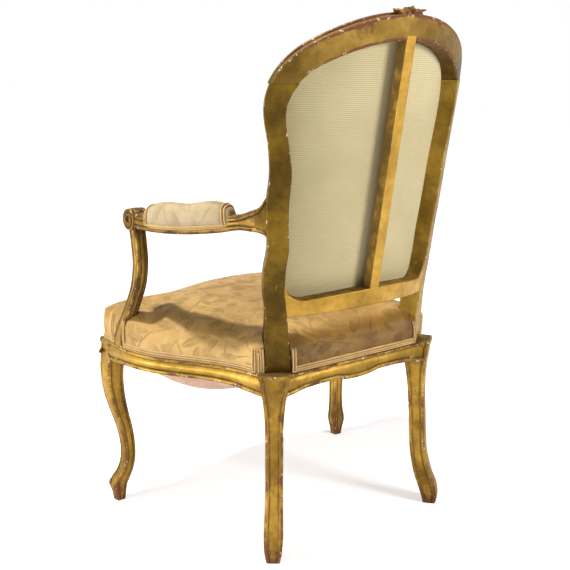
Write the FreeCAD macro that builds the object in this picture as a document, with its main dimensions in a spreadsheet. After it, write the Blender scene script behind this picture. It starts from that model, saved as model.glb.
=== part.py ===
import FreeCAD, Part
import Sketcher
import math
import os
from FreeCAD import Rotation, Vector

# Gilded armchair with a bowed, open-framed back, cabriole legs and a stuffed seat.
# The frame is a set of separate carved pieces with tenons seated in mortises. The seat, back and arm pads
# are built up in layers of webbing, canvas, stuffing and cover, each a piece of its own.
# Millimetres. +Z is up, +X is the sitter's left, +Y points to the rear of the chair.
# The origin lies on the floor, in the middle of the chair's width and depth.

# Driving dimensions: name, value, meaning
SIZES = [
    ("rail_top", 338, "height of the ledge on the seat rails that carries the seat's edge"),
    ("rail_face", 31, "height of a seat rail's moulded face"),
    ("rail_bracket", 9, "how much lower a rail's edge runs where it meets a leg"),
    ("rail_drop", 6, "drop of the carved middle of the front and rear rails"),
    ("rail_thickness", 30, "thickness of a seat rail"),
    ("rail_rise", 12, "height of a rail's core above the ledge"),
    ("rail_ledge", 10, "width of the ledge"),
    ("seat_depth", 464, "rear rail's back to the front rail's middle"),
    ("leg_depth", 394, "rear rail's back to the front legs' axes"),
    ("front_spread", 577, "between the front legs' axes"),
    ("post_spread", 348, "between the rear legs' axes at the seat"),
    ("rear_foot_spread", 395, "between the rear feet"),
    ("post_inset", 27, "rear rail's back to the rear legs' axes"),
    ("rear_foot_kick", 26, "how far a rear foot stands behind its leg's axis"),
    ("side_bulge", 22, "outward bow of a side rail"),
    ("side_sway", 15, "serpentine sway of a side rail"),
    ("front_foot", 19, "width of a front foot on the floor"),
    ("front_toe", 29, "width across a front foot's toe"),
    ("front_ankle", 24, "width of a front leg's ankle"),
    ("front_knee", 37, "width of a front leg's knee"),
    ("front_sway", 15, "how far a front leg's ankle is drawn in along each axis"),
    ("rear_foot", 25, "width of a rear foot on the floor"),
    ("rear_toe", 34, "width across a rear foot's toe"),
    ("rear_ankle", 31, "width of a rear leg's ankle"),
    ("rear_block", 52, "width of a rear leg's block at the rails"),
    ("leg_turn", 37, "angle that a rear leg is turned outwards"),
    ("stile_spread", 337, "between the stiles' middles at the seat"),
    ("stile_width", 37, "width of a stile"),
    ("back_radius", 335, "radius of the bowed back's rear face"),
    ("back_rake", 10, "backward lean of the back"),
    ("back_setback", 37, "bowed back's middle behind the rear rail, at the lower rail"),
    ("frame_thickness", 36, "thickness of the back frame"),
    ("lining_depth", 28, "rear face of the frame to the rebate for the back's layers"),
    ("rebate_width", 8, "width of that rebate"),
    ("crest_height", 940, "height of the crest rail's middle"),
    ("crest_depth", 41, "height of the crest rail's face in the middle"),
    ("seam_height", 832, "height of the joint between stile and crest rail"),
    ("shoulder_spread", 445, "width of the back across the shoulders"),
    ("shoulder_height", 802, "height of the widest part of the shoulders"),
    ("shoulder_radius", 108, "radius of the shoulders' outline"),
    ("opening_spread", 387, "width of the frame's opening under the shoulders"),
    ("opening_height", 785, "height of the widest part of the opening"),
    ("opening_radius", 88, "radius of the opening's upper corners"),
    ("lower_rail_top", 477, "height of the lower back rail's middle"),
    ("lower_rail_face", 33, "height of the lower back rail"),
    ("lower_rail_camber", 9, "rise of the lower back rail's middle above its ends"),
    ("lower_rail_sweep", 34, "radius of the sweep from the lower back rail into a stile"),
    ("strut_width", 20, "width and thickness of the back's middle strut"),
    ("strut_housing", 7, "depth of the strut's housings in the rails"),
    ("arm_height", 609, "height of an arm's axis at the stile"),
    ("arm_front_height", 586, "height of an arm's axis at the knuckle"),
    ("arm_spread", 577, "between the arms' knuckles"),
    ("arm_reach", 289, "rear rail's back to the knuckles' axes"),
    ("arm_width", 31, "width of an arm"),
    ("arm_thickness", 27, "thickness of an arm"),
    ("knuckle_radius", 17, "radius of an arm's scrolled knuckle"),
    ("knuckle_width", 34, "width of that knuckle"),
    ("support_reach", 338, "rear rail's back to the arm supports' feet"),
    ("support_foot", 33, "depth of an arm support's foot"),
    ("support_width", 23, "width of an arm support"),
    ("support_sweep", 65, "how far an arm support sweeps back above its foot"),
    ("pad_length", 176, "length of an arm pad"),
    ("pad_width", 40, "width of an arm pad"),
    ("pad_height", 45, "height of an arm pad"),
    ("pad_seat", 11, "height of the arm's bare wood under its pad"),
    ("tenon_length", 15, "length of a tenon"),
    ("tenon_width", 20, "width of a tenon"),
    ("tenon_thickness", 10, "thickness of a tenon"),
    ("joint_clearance", 0.2, "clearance between a tenon and its mortise"),
    ("dowel_radius", 4.5, "radius of the dowel between arm and support"),
    ("dowel_length", 34, "length of that dowel"),
    ("screw_radius", 2.5, "radius of an arm screw's shank"),
    ("screw_head_radius", 4.5, "radius of an arm screw's countersunk head"),
    ("screw_length", 54, "length of an arm screw"),
    ("strap_width", 50, "width of a webbing strap"),
    ("strap_thickness", 1.6, "thickness of a webbing strap"),
    ("cloth", 1.2, "thickness of canvas and lining"),
    ("cover", 2, "thickness of the damask cover with its wadding"),
    ("layer_gap", 0.3, "clearance between soft layers"),
    ("gimp_width", 11, "width of the woven braid"),
    ("gimp_thickness", 2, "thickness of the woven braid"),
    ("seat_edge", 48, "height of the seat's side above the ledge"),
    ("seat_crown", 80, "height of the seat's middle above the ledge"),
    ("seat_lean", 20, "how much higher the seat stands at its front than at its rear"),
    ("back_crown", 30, "how far the back pad's middle stands before its edge"),
    ("bottom_sag", 34, "sag of the cloth under the seat"),
]

doc = FreeCAD.newDocument("armchair")
sheet = doc.addObject("Spreadsheet::Sheet", "sizes")
for row, (alias, value, meaning) in enumerate(SIZES, start=1):
    sheet.set(f"A{row}", alias)
    sheet.set(f"B{row}", str(value))
    sheet.set(f"C{row}", meaning)
    sheet.setAlias(f"B{row}", alias)
doc.recompute()


def size(alias):
    """A driving dimension, read from the sheet."""
    return float(sheet.get(alias))


# Layout that follows from the driving dimensions
RAKE = math.tan(math.radians(size("back_rake")))
BACK_REACH = size("back_setback") + (size("crest_height") - size("lower_rail_top")) * RAKE
RAIL_BACK = (size("seat_depth") - BACK_REACH) / 2
RAIL_LOW = size("rail_top") - size("rail_face")
POST_X = size("post_spread") / 2
POST_Y = RAIL_BACK - size("post_inset")
LEG_X = size("front_spread") / 2
LEG_Y = RAIL_BACK - size("leg_depth")
STILE_X = size("stile_spread") / 2
STILE_HEIGHT = size("seam_height") - size("rail_top")
CORE_TOP = size("rail_top") + size("rail_rise")
ARM_X = size("arm_spread") / 2
ARM_FRONT_Y = RAIL_BACK - size("arm_reach")
SUPPORT_Y = RAIL_BACK - size("support_reach")
UP = Vector(0, 0, 1)


# Shapes shared by several pieces

def chamfered_section(centre, across, along, width, depth, chamfer):
    """Rectangle with cut corners around centre, width along one direction and depth along the other."""
    half_width = width / 2
    half_depth = depth / 2
    points = []
    for side, end in ((1, 1), (-1, 1), (-1, -1), (1, -1)):
        near_side = centre + across * (side * half_width) + along * (end * (half_depth - chamfer))
        near_end = centre + across * (side * (half_width - chamfer)) + along * (end * half_depth)
        points += [near_side, near_end] if side * end > 0 else [near_end, near_side]
    return Part.makePolygon(points + points[:1])


def flat_section(x, y, z, width, depth, chamfer, turn=0):
    """Section with cut corners lying level at height z, turned about the vertical."""
    angle = math.radians(turn)
    across = Vector(math.cos(angle), -math.sin(angle), 0)
    along = Vector(math.sin(angle), math.cos(angle), 0)
    return chamfered_section(Vector(x, y, z), across, along, width, depth, chamfer)


def path_sections(stations, chamfer):
    """Sections with cut corners square to a path of (point, width, height) stations."""
    wires = []
    for number, (point, width, height) in enumerate(stations):
        before = stations[max(number - 1, 0)][0]
        after = stations[min(number + 1, len(stations) - 1)][0]
        ahead = (after - before).normalize()
        across = ahead.cross(UP).normalize()
        upward = across.cross(ahead).normalize()
        wires.append(chamfered_section(point, across, upward, width, height, chamfer))
    return wires


def loft(wires):
    """Smooth solid through sections, for carved wood."""
    return Part.makeLoft(wires, True, False)


def soft_loft(wires):
    """Solid with straight runs from section to section, for stuffed and hanging pieces."""
    return Part.makeLoft(wires, True, True)


def blend(first, last, share):
    return first + (last - first) * share


def prism(wire, direction):
    return Part.Face(wire).extrude(direction)


# Shapes of the bowed back

def back_face_y(z):
    """Rear face of the back frame, in the middle of the chair."""
    return RAIL_BACK + size("back_setback") + (z - size("lower_rail_top")) * RAKE


def back_point(angle, z, depth):
    """Point of the bowed back, at an angle from its middle and a depth before its rear face."""
    radius = size("back_radius") - depth
    centre_y = back_face_y(z) - size("back_radius")
    return Vector(radius * math.sin(angle), centre_y + radius * math.cos(angle), z)


def back_angle(x):
    return math.asin(x / size("back_radius"))


def back_slab(near_depth, far_depth, low, high, runs=0):
    """Bowed slab between two depths before the rear face, of arcs, or of straight runs for strained cloth."""
    reach = math.asin(min(0.95, (size("shoulder_spread") / 2 + size("stile_width")) / size("back_radius")))
    shares = [number / (runs or 2) for number in range((runs or 2) + 1)]
    rear = [back_point(blend(-reach, reach, share), low, near_depth) for share in shares]
    front = [back_point(blend(reach, -reach, share), low, far_depth) for share in shares]
    if runs:
        outline = Part.makePolygon(rear + front + rear[:1])
    else:
        outline = Part.Wire([
            Part.Arc(*rear).toShape(),
            Part.LineSegment(rear[2], front[0]).toShape(),
            Part.Arc(*front).toShape(),
            Part.LineSegment(front[2], rear[0]).toShape(),
        ])
    return prism(outline, Vector(0, (high - low) * RAKE, high - low))


# Shares of the back's radius between which a prism towards its axis runs
PRISM_SHARES = (0.5, 1.4)


def radial_prism(runs):
    """Prism whose sides point to the back's axis, from runs of (x, z) points on its rear face.

    A run of two points is a straight edge and a longer one a smooth curve through its points.
    """
    def place(x, z, share):
        reach = share * size("back_radius")
        return Vector(reach * math.tan(back_angle(x)), back_face_y(z) - size("back_radius") + reach, z)

    wires = []
    for share in PRISM_SHARES:
        edges = []
        for run in runs:
            points = [place(x, z, share) for x, z in run]
            if len(points) == 2:
                edges.append(Part.LineSegment(*points).toShape())
            else:
                curve = Part.BSplineCurve()
                curve.interpolate(points)
                edges.append(curve.toShape())
        wires.append(Part.Wire(edges))
    return Part.makeLoft(wires, True, True)


class Arch:
    """Three-centred arch: round shoulders of one radius and a flatter crown, tangent to each other."""

    def __init__(self, spread, spring, apex, shoulder):
        self.half, self.spring, self.apex, self.shoulder = spread / 2, spring, apex, shoulder
        rise = apex - spring
        self.crown = (self.half**2 - 2 * self.half * shoulder + rise**2) / (2 * (rise - shoulder))
        self.turn = math.asin((self.half - shoulder) / (self.crown - shoulder))
        self.crown_z = apex - self.crown

    def crown_point(self, angle):
        return self.crown * math.sin(angle), self.crown_z + self.crown * math.cos(angle)

    def half_width(self, z):
        """Half of the arch's width at height z, at or above its spring."""
        if z <= self.spring:
            return self.half
        if z < self.crown_point(self.turn)[1]:
            return self.half - self.shoulder + math.sqrt(self.shoulder**2 - (z - self.spring) ** 2)
        return math.sqrt(max(self.crown**2 - (z - self.crown_z) ** 2, 0))

    def shoulder_point(self, angle):
        return (self.half - self.shoulder + self.shoulder * math.cos(angle),
                self.spring + self.shoulder * math.sin(angle))

    def run(self, low):
        """Points from the left foot of the arch, at height low, over the crown to the right foot."""
        stop = math.pi / 2 - self.turn
        if low < self.shoulder_point(stop)[1]:
            start = math.asin((low - self.spring) / self.shoulder)
            left = [self.shoulder_point(blend(start, stop, share)) for share in (0, 0.5, 1)]
            left.append(self.crown_point(self.turn / 2))
        else:
            # The foot lies past the shoulder of a tall arch, so all the run is crown
            start = math.acos((low - self.crown_z) / self.crown)
            left = [self.crown_point(start * share) for share in (1, 0.75, 0.5, 0.25)]
        return left + [self.crown_point(0)] + [(-x, z) for x, z in reversed(left)]


OUTER_ARCH = Arch(size("shoulder_spread"), size("shoulder_height"), size("crest_height"),
                  size("shoulder_radius"))
INNER_ARCH = Arch(size("opening_spread"), size("opening_height"),
                  size("crest_height") - size("crest_depth"), size("opening_radius"))

# Stile outline: share of its height, sideways sway of its middle, width as a multiple of stile_width
STILE_OUTLINE = [
    (-0.06, 0, 1.19),
    (0.015, 0, 1.22),
    (0.125, 1, 1.14),
    (0.215, 1, 1.0),
    (0.30, 5, 1.03),
    (0.37, 5, 1.03),
    (0.45, 1, 0.99),
    (0.53, 3, 1.0),
    (0.61, 3.5, 1.02),
    (0.71, 1, 0.98),
    (0.80, 5, 0.93),
    (0.905, 11, 0.98),
]
STILE_STRAIGHTENS = 0.3
STILE_TOE_OUT = 11


def stile_seam():
    """Middle and width of the stile's top, where the crest rail's outlines meet it."""
    outer = OUTER_ARCH.half_width(size("seam_height"))
    inner = INNER_ARCH.half_width(size("seam_height"))
    angle = back_angle((outer + inner) / 2)
    return (outer + inner) / 2, (outer - inner) / math.cos(angle)


def stile_stations():
    """(height, middle of the rear face, width) up the stile."""
    seam_x, seam_width = stile_seam()
    stations = []
    for share, sway, width in STILE_OUTLINE:
        z = size("rail_top") + share * STILE_HEIGHT
        stations.append((z, blend(STILE_X, seam_x, max(share, 0)) + sway, width * size("stile_width")))
    stations.append((size("seam_height"), seam_x, seam_width))
    return stations


def stile_lift(z):
    """How far the stile's foot stands behind the bowed surface, where the leg carries it upright."""
    share = (z - size("rail_top")) / STILE_HEIGHT
    left = max(0, 1 - max(share, 0) / STILE_STRAIGHTENS)
    return STILE_TOE_OUT * left * left


def opening_half_width(z):
    """Half of the frame's opening at height z."""
    if z >= size("opening_height"):
        return INNER_ARCH.half_width(z)
    stations = stile_stations()
    for (low, x_low, w_low), (high, x_high, w_high) in zip(stations, stations[1:]):
        if low <= z <= high:
            share = (z - low) / (high - low)
            middle = blend(x_low, x_high, share)
            return middle - blend(w_low, w_high, share) / 2 * math.cos(back_angle(middle))
    return STILE_X - size("stile_width") / 2


# Plan of the seat rails

# Where a side rail's middle line enters the legs, measured from their axes
REAR_ENTRY = Vector(14, -11, 0)
FRONT_ENTRY = Vector(3, 13, 0)
SIDE_REAR = Vector(POST_X, POST_Y, 0) + REAR_ENTRY
SIDE_FRONT = Vector(LEG_X, LEG_Y, 0) + FRONT_ENTRY


def side_rail_plan(share):
    """Middle line of the left side rail, from the rear leg to the front one, and its outward normal."""
    def place(s):
        chord = SIDE_FRONT - SIDE_REAR
        outward = Vector(-chord.y, chord.x, 0).normalize()
        bow = size("side_bulge") * math.sin(math.pi * s) - size("side_sway") * math.sin(2 * math.pi * s)
        return SIDE_REAR + chord * s + outward * bow

    step = 0.001
    along = (place(share + step) - place(share - step)).normalize()
    return place(share), Vector(-along.y, along.x, 0)


def front_rail_plan(x):
    """Middle line of the front rail, serpentine between the legs, and its outward normal."""
    reach = size("seat_depth") - size("rail_thickness") / 2 - size("leg_depth")

    def bow(at):
        return reach * (1 + math.cos(math.pi * at / LEG_X)) / 2

    step = 0.1
    slope = (bow(x - step) - bow(x + step)) / (2 * step)
    return Vector(x, LEG_Y - bow(x), 0), Vector(-slope, -1, 0).normalize()


def rail_section(point, normal, low):
    """Moulded section of a seat rail: core, ledge, swelling face and a bead along the lower edge."""
    half = size("rail_thickness") / 2
    top = size("rail_top")
    core = half - size("rail_ledge")
    lip = 3
    bead = 9
    outline = [
        (-half, low),
        (-half, CORE_TOP),
        (core, CORE_TOP),
        (core, top),
        (half - lip, top),
        (half, top - lip),
        (half + 0.5, (top + low + bead) / 2),
        (half - lip, low + bead),
        (half, low + 0.7 * bead),
        (half, low + 0.3 * bead),
        (half - lip, low),
    ]
    points = [point + normal * out + UP * z for out, z in outline]
    return Part.makePolygon(points + points[:1])


# Seat outline, following the rails at a distance out from their middle lines

REAR_CORNER = Vector(12, -8, 0)
SIDE_SHARES = (0.12, 0.27, 0.42, 0.56, 0.7, 0.83, 0.94)
FRONT_SHARES = (0.93, 0.68, 0.42, 0.2)


def seat_outline(out, z, scale=1, lean=0):
    """Outline of the seat along the rails, drawn in about its middle and leaning up to the front."""
    middle_y = (RAIL_BACK + LEG_Y) / 2

    def on_side(share):
        point, normal = side_rail_plan(share)
        return point + normal * out

    def on_front(share):
        point, normal = front_rail_plan(share * LEG_X)
        return point + normal * out

    def place(point, side):
        y = middle_y + (point.y - middle_y) * scale
        return Vector(side * point.x * scale, y, z + lean * (RAIL_BACK - y) / size("seat_depth"))

    rear_y = RAIL_BACK - size("rail_thickness") / 2 + out
    corner_out = out * math.sqrt(0.5)
    half = [Vector(0.9 * POST_X, rear_y, 0), Vector(POST_X + corner_out, rear_y, 0) + REAR_CORNER]
    half += [on_side(share) for share in SIDE_SHARES]
    half.append(Vector(LEG_X + corner_out, LEG_Y - corner_out, 0))
    half += [on_front(share) for share in FRONT_SHARES]
    points = [place(p, 1) for p in half] + [place(on_front(0), 1)] + [place(p, -1) for p in reversed(half)]
    return Part.makePolygon(points + points[:1])


# Document objects

def keep(name, shape):
    """A carved or stuffed shape as an object of the document."""
    piece = doc.addObject("Part::Feature", name)
    piece.Shape = shape
    return piece


def cut(name, base, *tools):
    for number, tool in enumerate(tools):
        feature = doc.addObject("Part::Cut", f"{name}_{number}" if number < len(tools) - 1 else name)
        feature.Base = base
        feature.Tool = tool
        base = feature
    return base


def fuse(name, *shapes):
    feature = doc.addObject("Part::MultiFuse", name)
    feature.Shapes = list(shapes)
    return feature


def group(name, *shapes):
    feature = doc.addObject("Part::Compound", name)
    feature.Links = list(shapes)
    return feature


def mirror(name, source):
    feature = doc.addObject("Part::Mirroring", name)
    feature.Source = source
    feature.Normal = Vector(1, 0, 0)
    feature.Base = Vector(0, 0, 0)
    return feature


def bound_box(name, length, width, height, point, rotation, grow=None):
    """Box centred across on point, running along its first axis, its sizes bound to the sheet."""
    box = doc.addObject("Part::Box", name)
    for side, alias in (("Length", length), ("Width", width), ("Height", height)):
        bound = f"sizes.{alias}" if isinstance(alias, str) else f"{alias[1]} * sizes.{alias[0]}"
        box.setExpression(side, bound + (f" + 2 * sizes.{grow}" if grow else ""))
    doc.recompute()
    offset = Vector(box.Length.Value / 2, box.Width.Value / 2, box.Height.Value / 2)
    box.Placement = FreeCAD.Placement(point - rotation.multVec(offset), rotation)
    return box


def tenon_pair(name, shoulder, direction):
    """A tenon through a shoulder point and the mortise that takes it, half of each beyond the shoulder."""
    rotation = Rotation(Vector(1, 0, 0), direction)
    sides = (("tenon_length", 2), "tenon_thickness", "tenon_width")
    tenon = bound_box(f"{name}_tenon", *sides, shoulder, rotation)
    mortise = bound_box(f"{name}_mortise", *sides, shoulder, rotation, "joint_clearance")
    return tenon, mortise


# Rear posts: leg and stile of one piece

# Share of the leg's height, share of the foot's kick, and the two widths that the width lies between
REAR_LEG_OUTLINE = [
    (0.0, 1.0, "rear_foot", "rear_toe", 0.0),
    (0.035, 1.0, "rear_foot", "rear_toe", 0.5),
    (0.10, 0.88, "rear_foot", "rear_toe", 1.0),
    (0.18, 0.60, "rear_ankle", "rear_toe", 0.7),
    (0.30, 0.33, "rear_ankle", "rear_block", 0.0),
    (0.54, 0.17, "rear_ankle", "rear_block", 0.0),
    (0.75, 0.06, "rear_ankle", "rear_block", 0.12),
    (0.86, 0.02, "rear_ankle", "rear_block", 0.45),
    (0.945, 0.0, "rear_ankle", "rear_block", 0.9),
    (1.0, 0.0, "rear_ankle", "rear_block", 1.0),
]
LEG_CHAMFER = 4
STILE_CHAMFER = 3


def rear_leg_shape():
    wires = []
    splay = size("rear_foot_spread") / 2 - POST_X
    for share, kick, thin, thick, swell in REAR_LEG_OUTLINE:
        width = blend(size(thin), size(thick), swell)
        x = POST_X + splay * kick
        y = POST_Y + size("rear_foot_kick") * kick
        z = share * size("rail_top")
        wires.append(flat_section(x, y, z, width, width, LEG_CHAMFER, size("leg_turn")))
    return loft(wires)


def stile_shape():
    wires = []
    for z, x, width in stile_stations():
        angle = back_angle(x)
        middle = back_point(angle, z, size("frame_thickness") / 2)
        wires.append(flat_section(middle.x, middle.y + stile_lift(z), z, width, size("frame_thickness"),
                                  STILE_CHAMFER, math.degrees(angle)))
    return loft(wires)


post_leg = keep("rear_post_leg", rear_leg_shape())
post_stile = keep("rear_post_stile", stile_shape())
post_blank = fuse("rear_post_blank", post_leg, post_stile)


# Opening of the back frame, and the rebate around its front that takes the layers of the back

def grown_opening(grow):
    """Arch over the frame's opening, grown outwards."""
    return Arch(size("opening_spread") + 2 * grow, size("opening_height"), INNER_ARCH.apex + grow,
                size("opening_radius") + grow)


def opening_prism(grow):
    """The frame's opening, grown outwards, as a prism towards the back's axis."""
    arch = grown_opening(grow)
    low = size("lower_rail_top") - size("lower_rail_camber") - grow
    heights = [blend(low, size("opening_height"), share) for share in (0, 0.2, 0.4, 0.6, 0.8)]
    left = [(opening_half_width(z) + grow, z) for z in heights] + [(arch.half, size("opening_height"))]
    right = [(-x, z) for x, z in reversed(left)]
    return radial_prism([left, arch.run(size("opening_height")), right, [right[-1], left[0]]])


SLAB_LOW = size("lower_rail_top") - 3 * size("lower_rail_face")
SLAB_HIGH = size("crest_height") + size("crest_depth")


def back_layer(near_depth, far_depth, grow, runs=0):
    """Bowed sheet filling the opening, grown outwards, between two depths before the rear face."""
    slab = back_slab(near_depth, far_depth, SLAB_LOW, SLAB_HIGH, runs)
    return slab.common(opening_prism(grow))


rebate = keep("back_rebate", back_layer(size("lining_depth"), 2 * size("frame_thickness"),
                                        size("rebate_width")))


# Crest rail, with a moulding proud of its front edge and a carved spray in the middle

CREST_LIP = 4
CREST_LIP_DEPTH = 13
# Carved spray: distance from the middle, rise above the crest, depth and height
SPRAY = [(-37, -2, 8, 7), (-22, 0, 19, 18), (0, 1, 24, 24), (22, 0, 19, 18), (37, -2, 8, 7)]
SPRAY_CHAMFER = 3


def crest_outline(grow):
    """Crest rail between its two arches, grown along the outer one."""
    outer = Arch(size("shoulder_spread") + 2 * grow, size("shoulder_height"), size("crest_height") + grow,
                 size("shoulder_radius") + grow).run(size("seam_height"))
    inner = INNER_ARCH.run(size("seam_height"))
    return radial_prism([outer, [outer[-1], inner[-1]], inner[::-1], [inner[0], outer[0]]])


def crest_shape():
    lip_depth = size("frame_thickness") - CREST_LIP_DEPTH
    body = back_slab(0, lip_depth, SLAB_LOW, SLAB_HIGH).common(crest_outline(0))
    lip = back_slab(lip_depth, size("frame_thickness"), SLAB_LOW, SLAB_HIGH).common(crest_outline(CREST_LIP))
    stations = []
    for x, rise, depth, height in SPRAY:
        z = OUTER_ARCH.crown_point(math.asin(x / OUTER_ARCH.crown))[1] + rise
        stations.append((back_point(back_angle(x), z, depth / 2 + 1), depth, height))
    return body.fuse(lip).fuse(loft(path_sections(stations, SPRAY_CHAMFER)))


# Lower back rail, cambered, with sweeps up into the stiles

def lower_rail_shape():
    top = size("lower_rail_top")
    low = top - size("lower_rail_face")
    end = top - size("lower_rail_camber")
    sweep = size("lower_rail_sweep")
    half = opening_half_width(end + sweep) + 1
    inner = half - sweep
    outside = half + size("stile_width") / 3
    foot = low - size("lower_rail_camber")
    crown = [(inner * share, blend(top, end, share * share)) for share in (0.33, 0.67, 1)]
    bend = []
    for share in (0.33, 0.67, 1):
        angle = share * math.pi / 2
        bend.append((inner + sweep * math.sin(angle), end + sweep * (1 - math.cos(angle))))
    lower = [(outside * share, blend(low, foot, share * share)) for share in (0.5, 1)]
    return back_slab(0, size("frame_thickness"), SLAB_LOW, SLAB_HIGH).common(radial_prism([
        [(-x, z) for x, z in reversed(crown)] + [(0, top)] + crown,
        [crown[-1]] + bend,
        [bend[-1], (outside, end + sweep)],
        [(outside, end + sweep), (outside, foot)],
        lower[::-1] + [(0, low)] + [(-x, z) for x, z in lower],
        [(-outside, foot), (-outside, end + sweep)],
        [(-outside, end + sweep), (-bend[-1][0], bend[-1][1])],
        [(-x, z) for x, z in reversed(bend)] + [(-crown[-1][0], crown[-1][1])],
    ]))


# Middle strut of the back, a raked square bar housed in both rails

def strut_body(name, clearance):
    body = doc.addObject("PartDesign::Body", name)
    plane = next(f for f in body.Origin.OriginFeatures if f.Role == "XY_Plane")
    sketch = body.newObject("Sketcher::SketchObject", f"{name}_sketch")
    sketch.AttachmentSupport = [(plane, "")]
    sketch.MapMode = "FlatFace"
    corners = [Vector(-5, 0, 0), Vector(5, 0, 0), Vector(5, -10, 0), Vector(-5, -10, 0)]
    for number, corner in enumerate(corners):
        sketch.addGeometry(Part.LineSegment(corner, corners[(number + 1) % 4]), False)
    for number in range(4):
        sketch.addConstraint(Sketcher.Constraint("Coincident", number, 2, (number + 1) % 4, 1))
    sketch.addConstraint(Sketcher.Constraint("Horizontal", 2))
    sketch.addConstraint(Sketcher.Constraint("Vertical", 1))
    sketch.addConstraint(Sketcher.Constraint("Vertical", 3))
    sketch.addConstraint(Sketcher.Constraint("Symmetric", 0, 1, 0, 2, -2))
    sketch.addConstraint(Sketcher.Constraint("PointOnObject", 0, 1, -1))
    width = sketch.addConstraint(Sketcher.Constraint("Distance", 0, 10))
    depth = sketch.addConstraint(Sketcher.Constraint("Distance", 1, 10))
    grown = "sizes.strut_width" + (" + 2 * sizes.joint_clearance" if clearance else "")
    sketch.setExpression(f"Constraints[{width}]", grown)
    sketch.setExpression(f"Constraints[{depth}]", grown)
    pad = body.newObject("PartDesign::Pad", f"{name}_pad")
    pad.Profile = sketch
    pad.UseCustomVector = True
    pad.Direction = Vector(0, RAKE, 1)
    pad.setExpression("Length", "(sizes.crest_height - sizes.crest_depth - sizes.lower_rail_top"
                                " + 2 * sizes.strut_housing) / cos(sizes.back_rake)")
    start = size("lower_rail_top") - size("strut_housing")
    body.Placement.Base = Vector(0, back_face_y(start), start)
    return body


# Seat rails

# Share of the rail's run from its middle, and how far its lower edge follows drop and bracket there
LOWER_EDGE = [(0.0, 1.0, 0.0), (0.14, 0.85, 0.0), (0.3, 0.0, 0.0), (0.55, 0.0, 0.0), (0.75, 0.0, 0.2),
              (0.9, 0.0, 0.75), (1.0, 0.0, 1.0)]
SIDE_STATIONS = [(0.0, 1.0), (0.08, 0.7), (0.18, 0.2), (0.32, 0.0), (0.46, 0.0), (0.6, 0.0), (0.74, 0.0),
                 (0.86, 0.2), (0.94, 0.7), (1.0, 1.0)]


def side_rail_shape():
    wires = []
    for share, bracket in SIDE_STATIONS:
        point, normal = side_rail_plan(share)
        wires.append(rail_section(point, normal, RAIL_LOW - bracket * size("rail_bracket")))
    return loft(wires)


def across_rail_shape(plan):
    """A rail that runs across the chair, from its right end to its left one."""
    wires = []
    stations = [(-share, drop, bracket) for share, drop, bracket in reversed(LOWER_EDGE[1:])] + LOWER_EDGE
    for share, drop, bracket in stations:
        point, normal = plan(share)
        low = RAIL_LOW - drop * size("rail_drop") - bracket * size("rail_bracket")
        wires.append(rail_section(point, normal, low))
    return loft(wires)


RAIL_ENTRY = 6


def rear_rail_plan(share):
    """Middle line of the rear rail, ending just inside the rear legs, and its outward normal."""
    return Vector(share * (POST_X - RAIL_ENTRY), RAIL_BACK - size("rail_thickness") / 2, 0), Vector(0, 1, 0)


def front_rail_run(share):
    """Front rail from just inside one leg's side to just inside the other's."""
    return front_rail_plan(share * (LEG_X - size("front_knee") / 2 + 1.5))


# Front legs

# Share of the leg's height, share of its inward sway, and the two widths that the width lies between
FRONT_LEG_OUTLINE = [
    (0.0, 0.0, "front_foot", "front_toe", 0.0),
    (0.045, 0.0, "front_foot", "front_toe", 0.35),
    (0.095, -0.07, "front_foot", "front_toe", 0.95),
    (0.14, 0.2, "front_foot", "front_toe", 1.0),
    (0.19, 0.62, "front_ankle", "front_toe", 0.4),
    (0.27, 0.97, "front_ankle", "front_knee", 0.0),
    (0.38, 0.95, "front_ankle", "front_knee", 0.0),
    (0.48, 0.65, "front_ankle", "front_knee", 0.15),
    (0.58, 0.2, "front_ankle", "front_knee", 0.38),
    (0.68, -0.13, "front_ankle", "front_knee", 0.64),
    (0.78, -0.24, "front_ankle", "front_knee", 0.82),
    (0.88, -0.13, "front_ankle", "front_knee", 0.97),
    (0.95, 0.0, "front_ankle", "front_knee", 1.0),
    (1.0, 0.0, "front_ankle", "front_knee", 1.0),
]


def front_leg_shape():
    wires = []
    for share, sway, thin, thick, swell in FRONT_LEG_OUTLINE:
        width = blend(size(thin), size(thick), swell)
        draw = sway * size("front_sway")
        z = share * size("rail_top")
        wires.append(flat_section(LEG_X - draw, LEG_Y + draw, z, width, width, LEG_CHAMFER))
    return loft(wires)


# Arms, their supports and their pads

def arm_root():
    """Middle of the stile at the arm's height, and the direction out through the stile's side."""
    stations = stile_stations()
    z = size("arm_height")
    for (low, x_low, _), (high, x_high, _) in zip(stations, stations[1:]):
        if low <= z <= high:
            x = blend(x_low, x_high, (z - low) / (high - low))
            break
    angle = back_angle(x)
    root = back_point(angle, z, size("frame_thickness") / 2)
    return root, Vector(math.cos(angle), -math.sin(angle), 0)


ARM_ROOT, ARM_OUT = arm_root()
KNUCKLE = Vector(ARM_X, ARM_FRONT_Y, size("arm_front_height"))


# The arm's axis leaves the stile and reaches the knuckle along these directions, as shares of its run
ARM_STANDOFF = 8
ARM_LEAVING = Vector(0.13, -0.26, -0.045)
ARM_ARRIVING = Vector(-0.005, 0.32, -0.025)


def arm_path(share):
    """Point of the arm's axis, from the stile's side at 0 to the knuckle at 1, a cubic curve."""
    start = ARM_ROOT + ARM_OUT * (size("stile_width") / 2 + ARM_STANDOFF)
    run = (KNUCKLE - start).Length
    leaving = start + ARM_LEAVING * run
    arriving = KNUCKLE + ARM_ARRIVING * run
    rest = 1 - share
    return (start * rest**3 + leaving * (3 * rest**2 * share) + arriving * (3 * rest * share**2)
            + KNUCKLE * share**3)


def arm_height_at(share):
    """Height of the arm's section, fullest under the pad."""
    return size("arm_thickness") * (0.98 + 0.14 * math.sin(math.pi * share) ** 2)


ARM_FLARE = 1.8


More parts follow.
